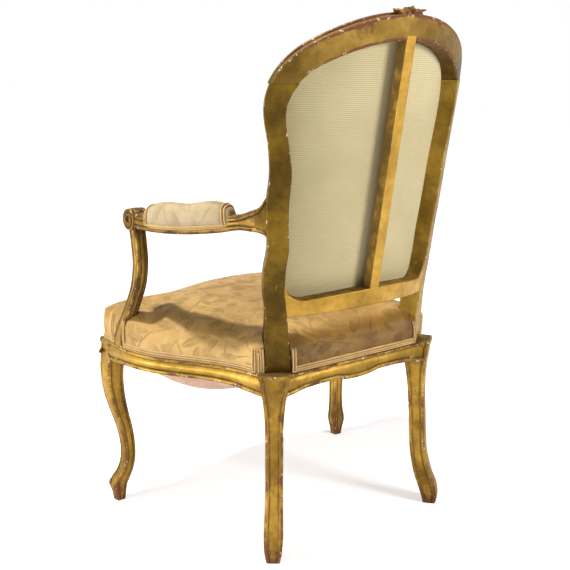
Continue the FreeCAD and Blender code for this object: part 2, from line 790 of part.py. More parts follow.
def arm_shape():
    """Arm that flares in height into the stile's side and carries its section on to the knuckle."""
    width = size("arm_width")
    thick = size("arm_thickness")
    inside_stile = ARM_ROOT + ARM_OUT * (size("stile_width") / 9)
    stations = [(inside_stile, 0.7 * width, ARM_FLARE * thick), (arm_path(0), 0.95 * width, 1.3 * thick)]
    for share in (0.12, 0.3, 0.5, 0.7, 0.87, 1.0):
        stations.append((arm_path(share), width, arm_height_at(share)))
    return loft(path_sections(stations, LEG_CHAMFER))


def knuckle_cylinder(name):
    knuckle = doc.addObject("Part::Cylinder", name)
    knuckle.setExpression("Radius", "sizes.knuckle_radius")
    knuckle.setExpression("Height", "sizes.knuckle_width")
    doc.recompute()
    side = Vector(knuckle.Height.Value / 2, 0, 0)
    knuckle.Placement = FreeCAD.Placement(KNUCKLE - side, Rotation(UP, Vector(1, 0, 0)))
    return knuckle


def side_rail_share(y):
    """Share along the side rail's middle line at which it passes y."""
    return (y - SIDE_REAR.y) / (SIDE_FRONT.y - SIDE_REAR.y)


SUPPORT_FOOT = side_rail_plan(side_rail_share(SUPPORT_Y))[0] + UP * size("rail_top")


# Share of an arm support's height at which it has swept back furthest, and its foot's width by its depth
SUPPORT_TURN = 0.66
FOOT_WIDTH = 0.85


def support_path(share):
    """Axis of the arm support, from its foot on the side rail to the knuckle, sweeping back between."""
    furthest = SUPPORT_Y + size("support_sweep")
    if share <= SUPPORT_TURN:
        y = blend(SUPPORT_Y, furthest, math.sin(math.pi / 2 * share / SUPPORT_TURN) ** 1.9)
    else:
        y = blend(furthest, ARM_FRONT_Y, ((share - SUPPORT_TURN) / (1 - SUPPORT_TURN)) ** 1.6)
    return Vector(blend(SUPPORT_FOOT.x, ARM_X, share), y, blend(size("rail_top"), KNUCKLE.z, share))


def support_shape():
    foot = size("support_foot")
    width = size("support_width")
    swells = [(0.0, 1.0), (0.08, 0.85), (0.2, 0.35), (0.36, 0.02), (0.52, 0.0), (0.68, 0.0), (0.82, 0.05),
              (0.94, 0.1)]
    wires = []
    for share, swell in swells:
        point = support_path(share)
        depth = blend(width, foot, swell)
        across = blend(width, FOOT_WIDTH * foot, swell)
        wires.append(flat_section(point.x, point.y, point.z, across, depth, LEG_CHAMFER))
    return loft(wires)


PAD_LENGTH_SHARE = size("pad_length") / (KNUCKLE - arm_path(0)).Length
PAD_START = 0.5 - 0.47 * PAD_LENGTH_SHARE
PAD_END_WIDTH = 0.66
PAD_END_HEIGHT = 0.5
# Half outline of an arm pad, from its base to its top: share of its half width, share of its height
PAD_OUTLINE = [(0.8, 0), (1, 0.3), (0.93, 0.6), (0.68, 0.84), (0.3, 0.97)]


def pad_section(share, lift, width, height):
    """Domed section of an arm pad, square to the arm, over the arm's upper part."""
    point = arm_path(share)
    ahead = (arm_path(share + 0.01) - arm_path(share - 0.01)).normalize()
    across = ahead.cross(UP).normalize()
    upward = across.cross(ahead).normalize()
    base = point + upward * (size("pad_seat") - arm_height_at(share) / 2 + lift)

    outline = PAD_OUTLINE + [(-side, rise) for side, rise in reversed(PAD_OUTLINE)]
    points = [base + across * (side * width / 2) + upward * (rise * height) for side, rise in outline]
    return Part.makePolygon(points + points[:1])


def pad_shape(lift, shrink):
    """Stuffed arm pad, full in the middle and drawn in at its ends."""
    inset = shrink / size("pad_length")
    wires = []
    for part in (0, 0.05, 0.2, 0.5, 0.8, 0.95, 1):
        swell = (1 - abs(2 * part - 1) ** 5) ** 0.4
        share = PAD_START + PAD_LENGTH_SHARE * blend(inset, 1 - inset, part)
        width = blend(PAD_END_WIDTH, 1, swell) * size("pad_width") - 2 * shrink
        height = blend(PAD_END_HEIGHT, 1, swell) * size("pad_height") - lift - shrink
        wires.append(pad_section(share, lift, width, height))
    return soft_loft(wires)


# Soft layers of the seat

def seat_loft(levels, out):
    """Stuffed shape through (height above the ledge, swell outwards, scale, lean) levels."""
    wires = []
    for rise, swell, scale, lean in levels:
        wires.append(seat_outline(out + swell, size("rail_top") + rise, scale, lean))
    return soft_loft(wires)


CANVAS_BASE = CORE_TOP + 2 * size("strap_thickness") + size("layer_gap")
STUFFING_BASE = CANVAS_BASE + size("cloth") + size("layer_gap")
CORE_OUT = size("rail_thickness") / 2 - size("rail_ledge")
# The cover clears the rails' curved cores with its straight runs
COVER_CLEARANCE = 1.4
COVER_IN = CORE_OUT + COVER_CLEARANCE
COVER_OUT = COVER_IN + size("cover")


# Shares of the seat's plan at which its rolled edge and crown are drawn, outside and inside
SEAT_DOME = (1.0, 0.985, 0.95, 0.88, 0.76, 0.56, 0.25)
SEAT_DOME_INSIDE = (1.0, 0.95, 0.82, 0.6, 0.25)
SEAT_SWELL = 1.5


def seat_levels(start, drop, dome):
    """Levels of the seat from its base over the rolled edge to the crown, all lowered by drop."""
    edge = size("seat_edge") - drop
    rise = size("seat_crown") - size("seat_edge")
    lean = size("seat_lean")
    levels = [(start, 0, 1, 0), (blend(start, edge, 0.5), SEAT_SWELL, 1, lean / 2)]
    for scale in dome:
        levels.append((edge + rise * math.sqrt(1 - scale**5), 0, scale, lean))
    return levels


def seat_cover_shape():
    base = size("layer_gap")
    outside = seat_loft(seat_levels(base, 0, SEAT_DOME), COVER_OUT)
    inside = seat_loft(seat_levels(base - 1, size("cover"), SEAT_DOME_INSIDE), COVER_IN)
    return outside.cut(inside)


def seat_stuffing_shape():
    drop = size("cover") + size("layer_gap")
    start = STUFFING_BASE - size("rail_top")
    return seat_loft(seat_levels(start, drop, SEAT_DOME_INSIDE), COVER_IN - SEAT_SWELL)


def seat_band(inner, outer, low, high):
    """Band that runs round the seat between two distances out from the rails' middle lines."""
    ring = Part.Face(seat_outline(outer, low)).cut(Part.Face(seat_outline(inner, low)))
    return ring.extrude(UP * (high - low))


NOTCH_DEPTH = 5
NOTCH_EASE = 2.5
STILE_FOOT = max(width for _, _, width in STILE_OUTLINE)


def stile_notch(clearance):
    """Room that the seat leaves for a stile: the stile's width, running out past its rear face."""
    middle = back_point(back_angle(STILE_X), size("rail_top"), size("frame_thickness"))
    middle.y += STILE_TOE_OUT
    ease = clearance + NOTCH_EASE
    width = STILE_FOOT * size("stile_width") + 2 * ease
    length = 3 * size("frame_thickness")
    box = Part.makeBox(width, length, 2 * size("seat_crown"), Vector(-width / 2, -ease, 0))
    box.Placement = FreeCAD.Placement(Vector(middle.x, middle.y, size("rail_top") - NOTCH_DEPTH),
                                      Rotation(UP, -math.degrees(back_angle(STILE_X))))
    return box


def support_notch(clearance):
    """Room that the seat leaves for an arm support, following its axis and running out past the side rail."""
    foot = size("support_foot")
    reach = FOOT_WIDTH * foot / 2 + clearance
    wires = []
    for share in (-0.03, 0.05, 0.13, 0.22, 0.31, 0.4):
        point = support_path(max(share, 0))
        depth = blend(foot, size("support_width"), min(max(share, 0) / 0.36, 1)) + 2 * clearance
        low = Vector(point.x - reach, point.y - depth / 2, blend(size("rail_top"), KNUCKLE.z, share))
        out = Vector(2 * foot, 0, 0)
        along = Vector(0, depth, 0)
        wires.append(Part.makePolygon([low, low + out, low + out + along, low + along, low]))
    return soft_loft(wires)


def notches(name, clearance):
    """The notches for both stiles and both supports."""
    shapes = []
    for shape in (stile_notch(clearance), support_notch(clearance)):
        shapes += [shape, shape.mirror(Vector(0, 0, 0), Vector(1, 0, 0))]
    return keep(name, Part.makeCompound(shapes))


def strap(name, point, length, turn):
    """Webbing strap, centred on point, its width and thickness bound to the sheet."""
    box = doc.addObject("Part::Box", name)
    box.Length = length
    box.setExpression("Width", "sizes.strap_width")
    box.setExpression("Height", "sizes.strap_thickness")
    rotation = Rotation(UP, turn)
    offset = rotation.multVec(Vector(length / 2, size("strap_width") / 2, 0))
    box.Placement = FreeCAD.Placement(point - offset, rotation)
    return box


# Where the straps lie: shares of the side rails' run, and of the rear legs' half spread
CROSS_STRAPS = (0.2, 0.4, 0.6, 0.8)
LONG_STRAPS = (-0.6, -0.3, 0, 0.3, 0.6)
STRAP_SETBACK = 4


def seat_straps():
    straps = []
    for number, share in enumerate(CROSS_STRAPS):
        middle = side_rail_plan(share)[0]
        length = 2 * (middle.x - 3 * STRAP_SETBACK)
        straps.append(strap(f"cross_strap_{number}", Vector(0, middle.y, CORE_TOP), length, 0))
    rear = RAIL_BACK - size("rail_thickness") / 2
    for number, share in enumerate(LONG_STRAPS):
        x = share * POST_X
        front = front_rail_plan(x)[0].y
        point = Vector(x, (rear + front) / 2, CORE_TOP + size("strap_thickness"))
        straps.append(strap(f"long_strap_{number}", point, rear - front - 2 * STRAP_SETBACK, 90))
    return straps


CLOTH_HANG = 4


def bottom_cloth_shape():
    """Cloth nailed inside the rails' lower edges, sagging between them."""
    half = size("rail_thickness") / 2 + COVER_CLEARANCE
    hung = RAIL_LOW + CLOTH_HANG
    stations = []
    for share in (0, 0.15, 0.35, 0.6, 0.85, 1):
        y = blend(RAIL_BACK, RAIL_BACK - size("seat_depth"), share)
        sag = size("bottom_sag") * math.sin(math.pi * blend(0.06, 0.94, share))
        ends = []
        for rise in (0, size("cloth")):
            ends.append([Vector(-LEG_X, y, hung + rise), Vector(0, y, hung - sag + rise),
                         Vector(LEG_X, y, hung + rise)])
        low, high = ends
        stations.append(Part.Wire([
            Part.Arc(*low).toShape(),
            Part.LineSegment(low[2], high[2]).toShape(),
            Part.Arc(*reversed(high)).toShape(),
            Part.LineSegment(high[0], low[0]).toShape(),
        ]))
    inside = prism(seat_outline(-half, 0), UP * size("rail_top"))
    return soft_loft(stations).common(inside)


# Soft layers of the back, from the lining that shows behind to the cover in front

LINING_NEAR = size("lining_depth") + size("layer_gap")
LINING_FAR = LINING_NEAR + size("cloth")
WEB_FAR = LINING_FAR + size("layer_gap") + 2 * size("strap_thickness")
BACK_CANVAS_NEAR = WEB_FAR + size("layer_gap")
BACK_CANVAS_FAR = BACK_CANVAS_NEAR + size("cloth")
BACK_PAD_NEAR = BACK_CANVAS_FAR + 3 * size("layer_gap")
BACK_PAD_MARGIN = 4
BACK_PAD_EDGE = 5
BACK_LEVELS = (0.0, 0.06, 0.3, 0.6, 0.74, 0.86, 0.95, 0.99)
CLOTH_RUNS = 12
PAD_RUNS = (-1, -0.67, -0.33, 0, 0.33, 0.67, 1)


def back_pad_shape(near, far, crown_near, crown_far, margin):
    """Crowned pad of the back between two depths at its edge and two depths in its middle."""
    grow = size("rebate_width") - margin
    arch = grown_opening(grow)
    low = size("lower_rail_top") - size("lower_rail_camber") - grow
    wires = []
    for share in BACK_LEVELS:
        z = blend(low, arch.apex, share)
        half = arch.half_width(z) if z >= arch.spring else opening_half_width(z) + grow
        angle = back_angle(half)
        swell = math.sin(math.pi * blend(0.03, 0.97, share)) ** 0.6

        points = []
        for depth, crown, shares in ((near, crown_near, PAD_RUNS), (far, crown_far, PAD_RUNS[::-1])):
            for across in shares:
                points.append(back_point(across * angle, z, depth + crown * swell * (1 - across * across)))
        wires.append(Part.makePolygon(points + points[:1]))
    return soft_loft(wires)


def back_sheet_shape(near, far):
    """Cloth stretched over the whole opening between two depths."""
    return back_layer(near, far, size("rebate_width") - size("layer_gap"), CLOTH_RUNS)


def back_straps_shape():
    """Crossed webbing of the back: three straps across and two upright."""
    straps = []
    thick = size("strap_thickness")
    near = LINING_FAR + size("layer_gap")
    across = back_layer(near, near + thick, size("rebate_width") - 1, CLOTH_RUNS)
    upright = back_layer(near + thick, near + 2 * thick, size("rebate_width") - 1, CLOTH_RUNS)
    far = 2 * size("seat_depth")
    half = size("strap_width") / 2
    for share in (0.2, 0.5, 0.8):
        z = blend(size("lower_rail_top"), INNER_ARCH.apex, share)
        straps.append(across.common(Part.makeBox(2 * far, 2 * far, 2 * half, Vector(-far, -far, z - half))))
    for side in (-1, 1):
        x = side * size("opening_spread") / 6
        straps.append(upright.common(Part.makeBox(2 * half, 2 * far, 2 * far, Vector(x - half, -far, 0))))
    return Part.makeCompound(straps)


# Arm screws, countersunk in the stiles' inner sides

def screw_body(name):
    body = doc.addObject("PartDesign::Body", name)
    plane = next(f for f in body.Origin.OriginFeatures if f.Role == "XZ_Plane")
    sketch = body.newObject("Sketcher::SketchObject", f"{name}_sketch")
    sketch.AttachmentSupport = [(plane, "")]
    sketch.MapMode = "FlatFace"
    shank = size("screw_radius")
    head = size("screw_head_radius")
    length = size("screw_length")
    points = [(0, 0), (head, 0), (shank, head - shank), (shank, length), (0, length)]
    corners = [Vector(x, z, 0) for x, z in points]
    for number, corner in enumerate(corners):
        sketch.addGeometry(Part.LineSegment(corner, corners[(number + 1) % 5]), False)
    for number in range(5):
        sketch.addConstraint(Sketcher.Constraint("Coincident", number, 2, (number + 1) % 5, 1))
    sketch.addConstraint(Sketcher.Constraint("Coincident", 0, 1, -1, 1))
    sketch.addConstraint(Sketcher.Constraint("Horizontal", 0))
    sketch.addConstraint(Sketcher.Constraint("Vertical", 2))
    sketch.addConstraint(Sketcher.Constraint("Horizontal", 3))
    sketch.addConstraint(Sketcher.Constraint("Vertical", 4))
    bound = [
        (sketch.addConstraint(Sketcher.Constraint("Distance", 0, head)), "sizes.screw_head_radius"),
        (sketch.addConstraint(Sketcher.Constraint("Distance", 3, shank)), "sizes.screw_radius"),
        (sketch.addConstraint(Sketcher.Constraint("Distance", 4, length)), "sizes.screw_length"),
        (sketch.addConstraint(Sketcher.Constraint("DistanceY", 1, 1, 1, 2, head - shank)),
         "sizes.screw_head_radius - sizes.screw_radius"),
    ]
    for number, expression in bound:
        sketch.setExpression(f"Constraints[{number}]", expression)
    turned = body.newObject("PartDesign::Revolution", f"{name}_turned")
    turned.Profile = sketch
    turned.ReferenceAxis = (sketch, ["V_Axis"])
    turned.Angle = 360
    head_point = ARM_ROOT - ARM_OUT * (size("stile_width") / 2 - 1)
    body.Placement = FreeCAD.Placement(head_point, Rotation(UP, ARM_OUT))
    return body


# Assembly: blanks first, then shoulders, tenons, mortises and notches

TENON_DROP = 14
TENON_Z = size("rail_top") - TENON_DROP
# How far the rails' tenons lie towards the legs' outer faces, and how deep their shoulders are scribed
TENON_SHIFT = 4
SHOULDER_SCRIBE = 3
REAR_SHOULDER = 10
DOWEL_DROP = 2
side_along = (SIDE_FRONT - SIDE_REAR).normalize()

front_leg_blank = keep("front_leg_blank", front_leg_shape())
side_rail_blank = keep("side_rail_blank", side_rail_shape())
front_rail_blank = keep("front_rail_blank", across_rail_shape(front_rail_run))
rear_rail_blank = keep("rear_rail_blank", across_rail_shape(rear_rail_plan))
crest_blank = keep("crest_blank", crest_shape())
lower_rail_blank = keep("lower_rail_blank", lower_rail_shape())
support_blank = keep("arm_support_blank", support_shape())
arm_loft = keep("arm_loft", arm_shape())
arm_blank = fuse("arm_blank", arm_loft, knuckle_cylinder("arm_knuckle"))

front_leg_mirrored = mirror("front_leg_blank_right", front_leg_blank)
post_mirrored = mirror("rear_post_blank_right", post_blank)

side_front_tenon, side_front_mortise = tenon_pair(
    "side_rail_front", Vector(LEG_X + TENON_SHIFT, LEG_Y + size("front_knee") / 2, TENON_Z), Vector(0, -1, 0))
side_rear_tenon, side_rear_mortise = tenon_pair(
    "side_rail_rear", SIDE_REAR + side_along * REAR_SHOULDER + UP * TENON_Z, side_along * -1)
front_tenon, front_mortise = tenon_pair(
    "front_rail", Vector(LEG_X - size("front_knee") / 2, LEG_Y - TENON_SHIFT, TENON_Z), Vector(1, 0, 0))
rear_tenon, rear_mortise = tenon_pair(
    "rear_rail", Vector(POST_X - size("rear_block") / 2 + SHOULDER_SCRIBE,
                        RAIL_BACK - size("rail_thickness") / 2, TENON_Z), Vector(1, 0, 0))

lower_z = size("lower_rail_top") - size("lower_rail_face") / 2
lower_angle = back_angle(opening_half_width(lower_z))
lower_tenon, lower_mortise = tenon_pair(
    "lower_back_rail", back_point(lower_angle, lower_z, size("lining_depth") / 2),
    Vector(math.cos(lower_angle), -math.sin(lower_angle), 0))

seam_x = stile_seam()[0]
seam_point = back_point(back_angle(seam_x), size("seam_height"), size("lining_depth") / 2)
crest_tenon, crest_mortise = tenon_pair("stile_top", seam_point, Vector(0, RAKE, 1).normalize())

support_tenon, support_mortise = tenon_pair("arm_support", SUPPORT_FOOT, Vector(0, 0, -1))

strut = strut_body("back_strut", False)
strut_housing = strut_body("strut_housing", True)

screw = screw_body("arm_screw")
screw_mirrored = mirror("arm_screw_right", screw)

dowel = doc.addObject("Part::Cylinder", "arm_dowel")
dowel.setExpression("Radius", "sizes.dowel_radius")
dowel.setExpression("Height", "sizes.dowel_length")
dowel_low = KNUCKLE - UP * (size("knuckle_radius") + size("dowel_length") / 2 - DOWEL_DROP)
dowel.Placement.Base = dowel_low
dowel_mirrored = mirror("arm_dowel_right", dowel)

rear_post_jointed = fuse("rear_post_jointed", post_blank, crest_tenon)
rear_post_left = cut("rear_post_left", rear_post_jointed, rebate, side_rear_mortise, rear_mortise,
                     lower_mortise, screw)
front_leg_left = cut("front_leg_left", front_leg_blank, side_front_mortise, front_mortise)
side_scribed = cut("side_rail_scribed", side_rail_blank, front_leg_blank, post_blank, support_blank)
side_jointed = fuse("side_rail_jointed", side_scribed, side_front_tenon, side_rear_tenon)
side_rail_left = cut("side_rail_left", side_jointed, support_mortise)
front_scribed = cut("front_rail_scribed", front_rail_blank, front_leg_blank, front_leg_mirrored)
front_rail = fuse("front_rail", front_scribed, front_tenon, mirror("front_rail_tenon_right", front_tenon))
rear_scribed = cut("rear_rail_scribed", rear_rail_blank, post_blank, post_mirrored)
rear_rail = fuse("rear_rail", rear_scribed, rear_tenon, mirror("rear_rail_tenon_right", rear_tenon))
crest_rail = cut("crest_rail", crest_blank, rebate, crest_mortise,
                 mirror("stile_top_mortise_right", crest_mortise), strut_housing)
lower_scribed = doc.addObject("Part::MultiCommon", "lower_back_rail_scribed")
lower_left = cut("lower_back_rail_left", lower_rail_blank, post_blank)
lower_scribed.Shapes = [lower_left, mirror("lower_back_rail_right", lower_left)]
lower_jointed = fuse("lower_back_rail_jointed", lower_scribed, lower_tenon,
                     mirror("lower_back_rail_tenon_right", lower_tenon))
lower_back_rail = cut("lower_back_rail", lower_jointed, rebate, strut_housing)
arm_left = cut("arm_left", arm_blank, post_blank, screw, dowel)
arm_support_left = cut("arm_support_left", fuse("arm_support_jointed", support_blank, support_tenon),
                       arm_blank, dowel)

seat_notches = notches("seat_notches", size("layer_gap"))
wide_notches = notches("stuffing_notches", size("layer_gap") + size("cover"))
seat_cover = cut("seat_cover", keep("seat_cover_blank", seat_cover_shape()), seat_notches)
seat_stuffing = cut("seat_stuffing", keep("seat_stuffing_blank", seat_stuffing_shape()), wide_notches)
canvas_sheet = prism(seat_outline(0, CANVAS_BASE), UP * size("cloth"))
seat_canvas = cut("seat_canvas", keep("seat_canvas_blank", canvas_sheet), seat_notches)
gimp_in = COVER_OUT + SEAT_SWELL / 2
gimp_low = size("rail_top") + size("layer_gap")
seat_gimp = cut("seat_gimp", keep("seat_gimp_blank", seat_band(
    gimp_in, gimp_in + size("gimp_thickness"), gimp_low, gimp_low + size("gimp_width"))), seat_notches)
seat_webbing = group("seat_webbing", *seat_straps())
bottom_cloth = cut("bottom_cloth", keep("bottom_cloth_blank", bottom_cloth_shape()), front_leg_blank,
                   front_leg_mirrored, post_blank, post_mirrored)

pad_near = BACK_PAD_NEAR
pad_edge = pad_near + BACK_PAD_EDGE
cover_near = pad_edge + size("layer_gap")
outside_back_cover = keep("outside_back_cover", back_sheet_shape(LINING_NEAR, LINING_FAR))
back_webbing = keep("back_webbing", back_straps_shape())
back_canvas = keep("back_canvas", back_sheet_shape(BACK_CANVAS_NEAR, BACK_CANVAS_FAR))
back_stuffing = keep("back_stuffing", back_pad_shape(
    pad_near, pad_edge, 0, size("back_crown"), BACK_PAD_MARGIN))
inside_back_cover = keep("inside_back_cover", back_pad_shape(
    cover_near, cover_near + size("cover"), size("back_crown"), size("back_crown"), BACK_PAD_MARGIN))
gimp_near = size("frame_thickness") + size("layer_gap")
gimp_far = gimp_near + size("gimp_thickness")
gimp_outer = size("rebate_width") + size("gimp_width") / 4
gimp_field = back_layer(gimp_near - 1, gimp_far + 1, size("rebate_width") - 1)
back_gimp = keep("back_gimp", back_layer(gimp_near, gimp_far, gimp_outer).cut(gimp_field))

arm_stuffing_left = cut("arm_stuffing_left", keep(
    "arm_stuffing_blank", pad_shape(size("layer_gap"), size("cover") + size("layer_gap"))), arm_blank)
arm_cover_left = cut("arm_cover_left", keep("arm_cover_blank", pad_shape(0, 0)),
                     keep("arm_cover_inside", pad_shape(-1, size("cover"))), arm_blank)

NODES = {
    "rear_post_left": rear_post_left,
    "rear_post_right": mirror("rear_post_right", rear_post_left),
    "front_leg_left": front_leg_left,
    "front_leg_right": mirror("front_leg_right", front_leg_left),
    "front_rail": front_rail,
    "rear_rail": rear_rail,
    "side_rail_left": side_rail_left,
    "side_rail_right": mirror("side_rail_right", side_rail_left),
    "crest_rail": crest_rail,
    "lower_back_rail": lower_back_rail,
    "back_strut": strut,
    "arm_left": arm_left,
    "arm_right": mirror("arm_right", arm_left),
    "arm_support_left": arm_support_left,
    "arm_support_right": mirror("arm_support_right", arm_support_left),
    "arm_screws": group("arm_screws", screw, screw_mirrored),
    "arm_dowels": group("arm_dowels", dowel, dowel_mirrored),
    "arm_stuffing_left": arm_stuffing_left,
    "arm_stuffing_right": mirror("arm_stuffing_right", arm_stuffing_left),
    "arm_cover_left": arm_cover_left,
    "arm_cover_right": mirror("arm_cover_right", arm_cover_left),
    "seat_webbing": seat_webbing,
    "seat_canvas": seat_canvas,
    "seat_stuffing": seat_stuffing,
    "seat_cover": seat_cover,
    "seat_gimp": seat_gimp,
    "bottom_cloth": bottom_cloth,
    "outside_back_cover": outside_back_cover,
    "back_webbing": back_webbing,
    "back_canvas": back_canvas,
    "back_stuffing": back_stuffing,
    "inside_back_cover": inside_back_cover,
    "back_gimp": back_gimp,
}

doc.recompute()
for item in doc.Objects:
    if "Invalid" in item.State or "Error" in item.State:
        raise RuntimeError(f"{item.Name} did not build: {item.State}")
os.makedirs("parts", exist_ok=True)
for label, piece in NODES.items():
    piece.Label = label
    shape = piece.Shape
    if shape.isNull() or not shape.isValid():
        raise RuntimeError(f"{label} has no valid shape")
    shape.exportStep(f"parts/{label}.step")
    print(f"{label}: {len(shape.Solids)} solid(s), {shape.Volume / 1000:.1f} cm3")
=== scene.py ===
import math
import bmesh
import bpy
import numpy as np
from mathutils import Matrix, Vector
from mathutils.kdtree import KDTree


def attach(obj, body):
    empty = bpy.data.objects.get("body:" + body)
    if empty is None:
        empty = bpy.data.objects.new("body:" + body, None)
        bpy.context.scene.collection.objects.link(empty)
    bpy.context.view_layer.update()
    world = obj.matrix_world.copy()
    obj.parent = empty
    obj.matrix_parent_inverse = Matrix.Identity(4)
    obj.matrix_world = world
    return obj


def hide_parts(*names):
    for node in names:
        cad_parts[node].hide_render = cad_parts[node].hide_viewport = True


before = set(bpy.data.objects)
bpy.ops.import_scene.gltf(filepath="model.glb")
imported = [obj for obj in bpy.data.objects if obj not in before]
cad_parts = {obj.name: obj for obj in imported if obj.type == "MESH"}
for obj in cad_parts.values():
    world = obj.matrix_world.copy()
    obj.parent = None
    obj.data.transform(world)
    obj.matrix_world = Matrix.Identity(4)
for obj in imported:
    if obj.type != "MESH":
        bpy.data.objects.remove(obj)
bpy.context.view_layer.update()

# Gilded open armchair. The carved pieces repeat the solids' stations in millimetres and give them moulded
# sections; the soft pieces repeat the solids' outlines with a fuller form. Meshes are written in metres.
MM = 0.001
UP = np.array([0.0, 0.0, 1.0])
TURN = 2 * math.pi

RAIL_TOP, RAIL_LOW = 338, 307
SEAT_DEPTH, RAIL_THICKNESS = 464, 30
CREST_TOP, SEAM_HEIGHT = 940, 832
LOWER_RAIL_TOP, LOWER_RAIL_END = 477, 468
BACK_SETBACK = 37
RAKE = math.tan(math.radians(10))
RAIL_BACK = (SEAT_DEPTH - BACK_SETBACK - (CREST_TOP - LOWER_RAIL_TOP) * RAKE) / 2
RAIL_MIDDLE = RAIL_BACK - RAIL_THICKNESS / 2
POST_X, POST_Y = 174, RAIL_BACK - 27
LEG_DEPTH = 394
LEG_X, LEG_Y = 288.5, RAIL_BACK - LEG_DEPTH
REAR_LEG_TURN = math.radians(37)
STILE_X, STILE_WIDTH, STILE_HEIGHT = 168.5, 37, SEAM_HEIGHT - RAIL_TOP
BACK_RADIUS, FRAME_THICKNESS = 335, 36
OPENING_SPREAD, OPENING_SPRING, OPENING_APEX, OPENING_SHOULDER = 387, 785, 899, 88
SIDES = (("left", False), ("right", True))


def blend(first, last, share):
    return first + (last - first) * share


def unit(vector):
    vector = np.asarray(vector, float)
    return vector / np.linalg.norm(vector)


def lengths(points):
    """Distance of each point along its run."""
    return np.concatenate([[0], np.cumsum(np.linalg.norm(np.diff(points, axis=0), axis=1))])


def mirrored(points, flip):
    """Points of the left half, or of the right half where flip is set."""
    return np.asarray(points) * ([-1, 1, 1] if flip else [1, 1, 1])


def hoop(middle, first, second, radius, count):
    """Points round a circle in the plane of two directions."""
    angles = np.linspace(0, TURN, count, endpoint=False)
    return middle + np.outer(np.cos(angles), first) * radius + np.outer(np.sin(angles), second) * radius


# Meshes

def put(name, data):
    """Object in the scene."""
    made = bpy.data.objects.new(name, data)
    bpy.context.scene.collection.objects.link(made)
    return made


def shaped_mesh(piece):
    """Mesh of an object with its modifiers applied."""
    bpy.context.view_layer.update()
    return bpy.data.meshes.new_from_object(piece.evaluated_get(bpy.context.evaluated_depsgraph_get()))


def make_piece(name, points, faces, material, slot, nodes=(), uv=None, values=None, sharp=40, rides=True):
    """Object from points in millimetres, with an optional UV and values per point, riding on the chair."""
    mesh = bpy.data.meshes.new(name)
    mesh.from_pydata((np.asarray(points, float) * MM).tolist(), [], faces)
    if uv is not None:
        layer = mesh.uv_layers.new(name="weave")
        corners = np.zeros(len(mesh.loops), int)
        mesh.loops.foreach_get("vertex_index", corners)
        layer.data.foreach_set("uv", (np.asarray(uv, float) * MM)[corners].ravel())
    for title, amounts in (values or {}).items():
        mesh.attributes.new(title, "FLOAT", "POINT").data.foreach_set("value", np.asarray(amounts, float))
    mesh.materials.append(material)
    work = bmesh.new()
    work.from_mesh(mesh)
    bmesh.ops.recalc_face_normals(work, faces=work.faces)
    work.to_mesh(mesh)
    work.free()
    mesh.shade_smooth()
    if sharp:
        mesh.set_sharp_from_angle(angle=math.radians(sharp))
    piece = put(name, mesh)
    if rides:
        settle(piece, slot, *nodes)
    return piece


def tool_piece(name, points, faces, material):
    """Smooth object that only helps to make others and doesn't ride on the chair."""
    return make_piece(name, points, faces, material, "", (), None, None, 0, False)


def settle(piece, slot, *nodes):
    """Ties a piece to the chair's body and hides the solids that it stands for. The slot is not used."""
    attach(piece, "root")
    if nodes:
        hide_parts(*nodes)


def glide(rows, step):
    """Rows of numbers, the first three a point, carried smoothly along their run every step millimetres."""
    rows = np.array(rows, float)
    at = lengths(rows[:, :3])
    slope = np.gradient(rows, at, axis=0)
    t = np.linspace(0, at[-1], max(int(at[-1] / step), 6) + 1)
    k = np.clip(np.searchsorted(at, t, side="right") - 1, 0, len(at) - 2)
    h = (at[k + 1] - at[k])[:, None]
    s = (t - at[k])[:, None] / h
    out = ((2 * s**3 - 3 * s**2 + 1) * rows[k] + (s**3 - 2 * s**2 + s) * h * slope[k]
           + (3 * s**2 - 2 * s**3) * rows[k + 1] + (s**3 - s**2) * h * slope[k + 1])
    return out, t


def skin(rings, closed_ends=True):
    """Faces between rings of the same count, and caps over the first and last one."""
    count = len(rings[0])
    faces = []
    for i in range(len(rings) - 1):
        for j in range(count):
            k = (j + 1) % count
            faces.append((i * count + j, i * count + k, (i + 1) * count + k, (i + 1) * count + j))
    if closed_ends:
        faces.append(tuple(range(count))[::-1])
        faces.append(tuple((len(rings) - 1) * count + j for j in range(count)))
    return faces


def closed_sheet(near, far, columns, levels):
    """Points and faces of a sheet with a front and a rear, joined round its edge."""
    count, wide = len(near), columns + 1
    faces = []
    for level in range(levels):
        for column in range(columns):
            first = level * wide + column
            faces.append((first, first + 1, first + wide + 1, first + wide))
    rim = [*range(columns), *(columns + level * wide for level in range(levels)),
           *(levels * wide + columns - column for column in range(columns)),
           *((levels - level) * wide for level in range(levels))]
    all_faces = faces + [tuple(count + v for v in face[::-1]) for face in faces]
    for first, second in zip(rim, rim[1:] + rim[:1]):
        all_faces.append((second, first, count + first, count + second))
    return np.concatenate([near, far]), all_faces


def sweep(name, rows, section, material, nodes, step, flip=False):
    """Carved piece of gilded wood: a moulded section carried along its rows.

    A row is a centre, the direction across, the direction of the depth, the width and the depth.
    """
    run, at = glide(rows, step)
    rings, uv, wear, grime_and_shade = [], [], [], []
    for row, along in zip(run, at):
        centre, across, deep = row[:3], unit(row[3:6]), unit(row[6:9])
        outline = section(row[9], row[10])
        rings.append(centre + outline[:, :1] * across + outline[:, 1:2] * deep)
        girth = lengths(outline[:, :2])
        uv.append(np.stack([girth, np.full(len(girth), along)], 1))
        wear.append(outline[:, 2])
        grime_and_shade.append(outline[:, 3])
    return make_piece(name, mirrored(np.concatenate(rings), flip), skin(rings), material, "gilded_wood", nodes,
                      np.concatenate(uv), {"wear": np.concatenate(wear), "grime_and_shade": np.concatenate(grime_and_shade)})


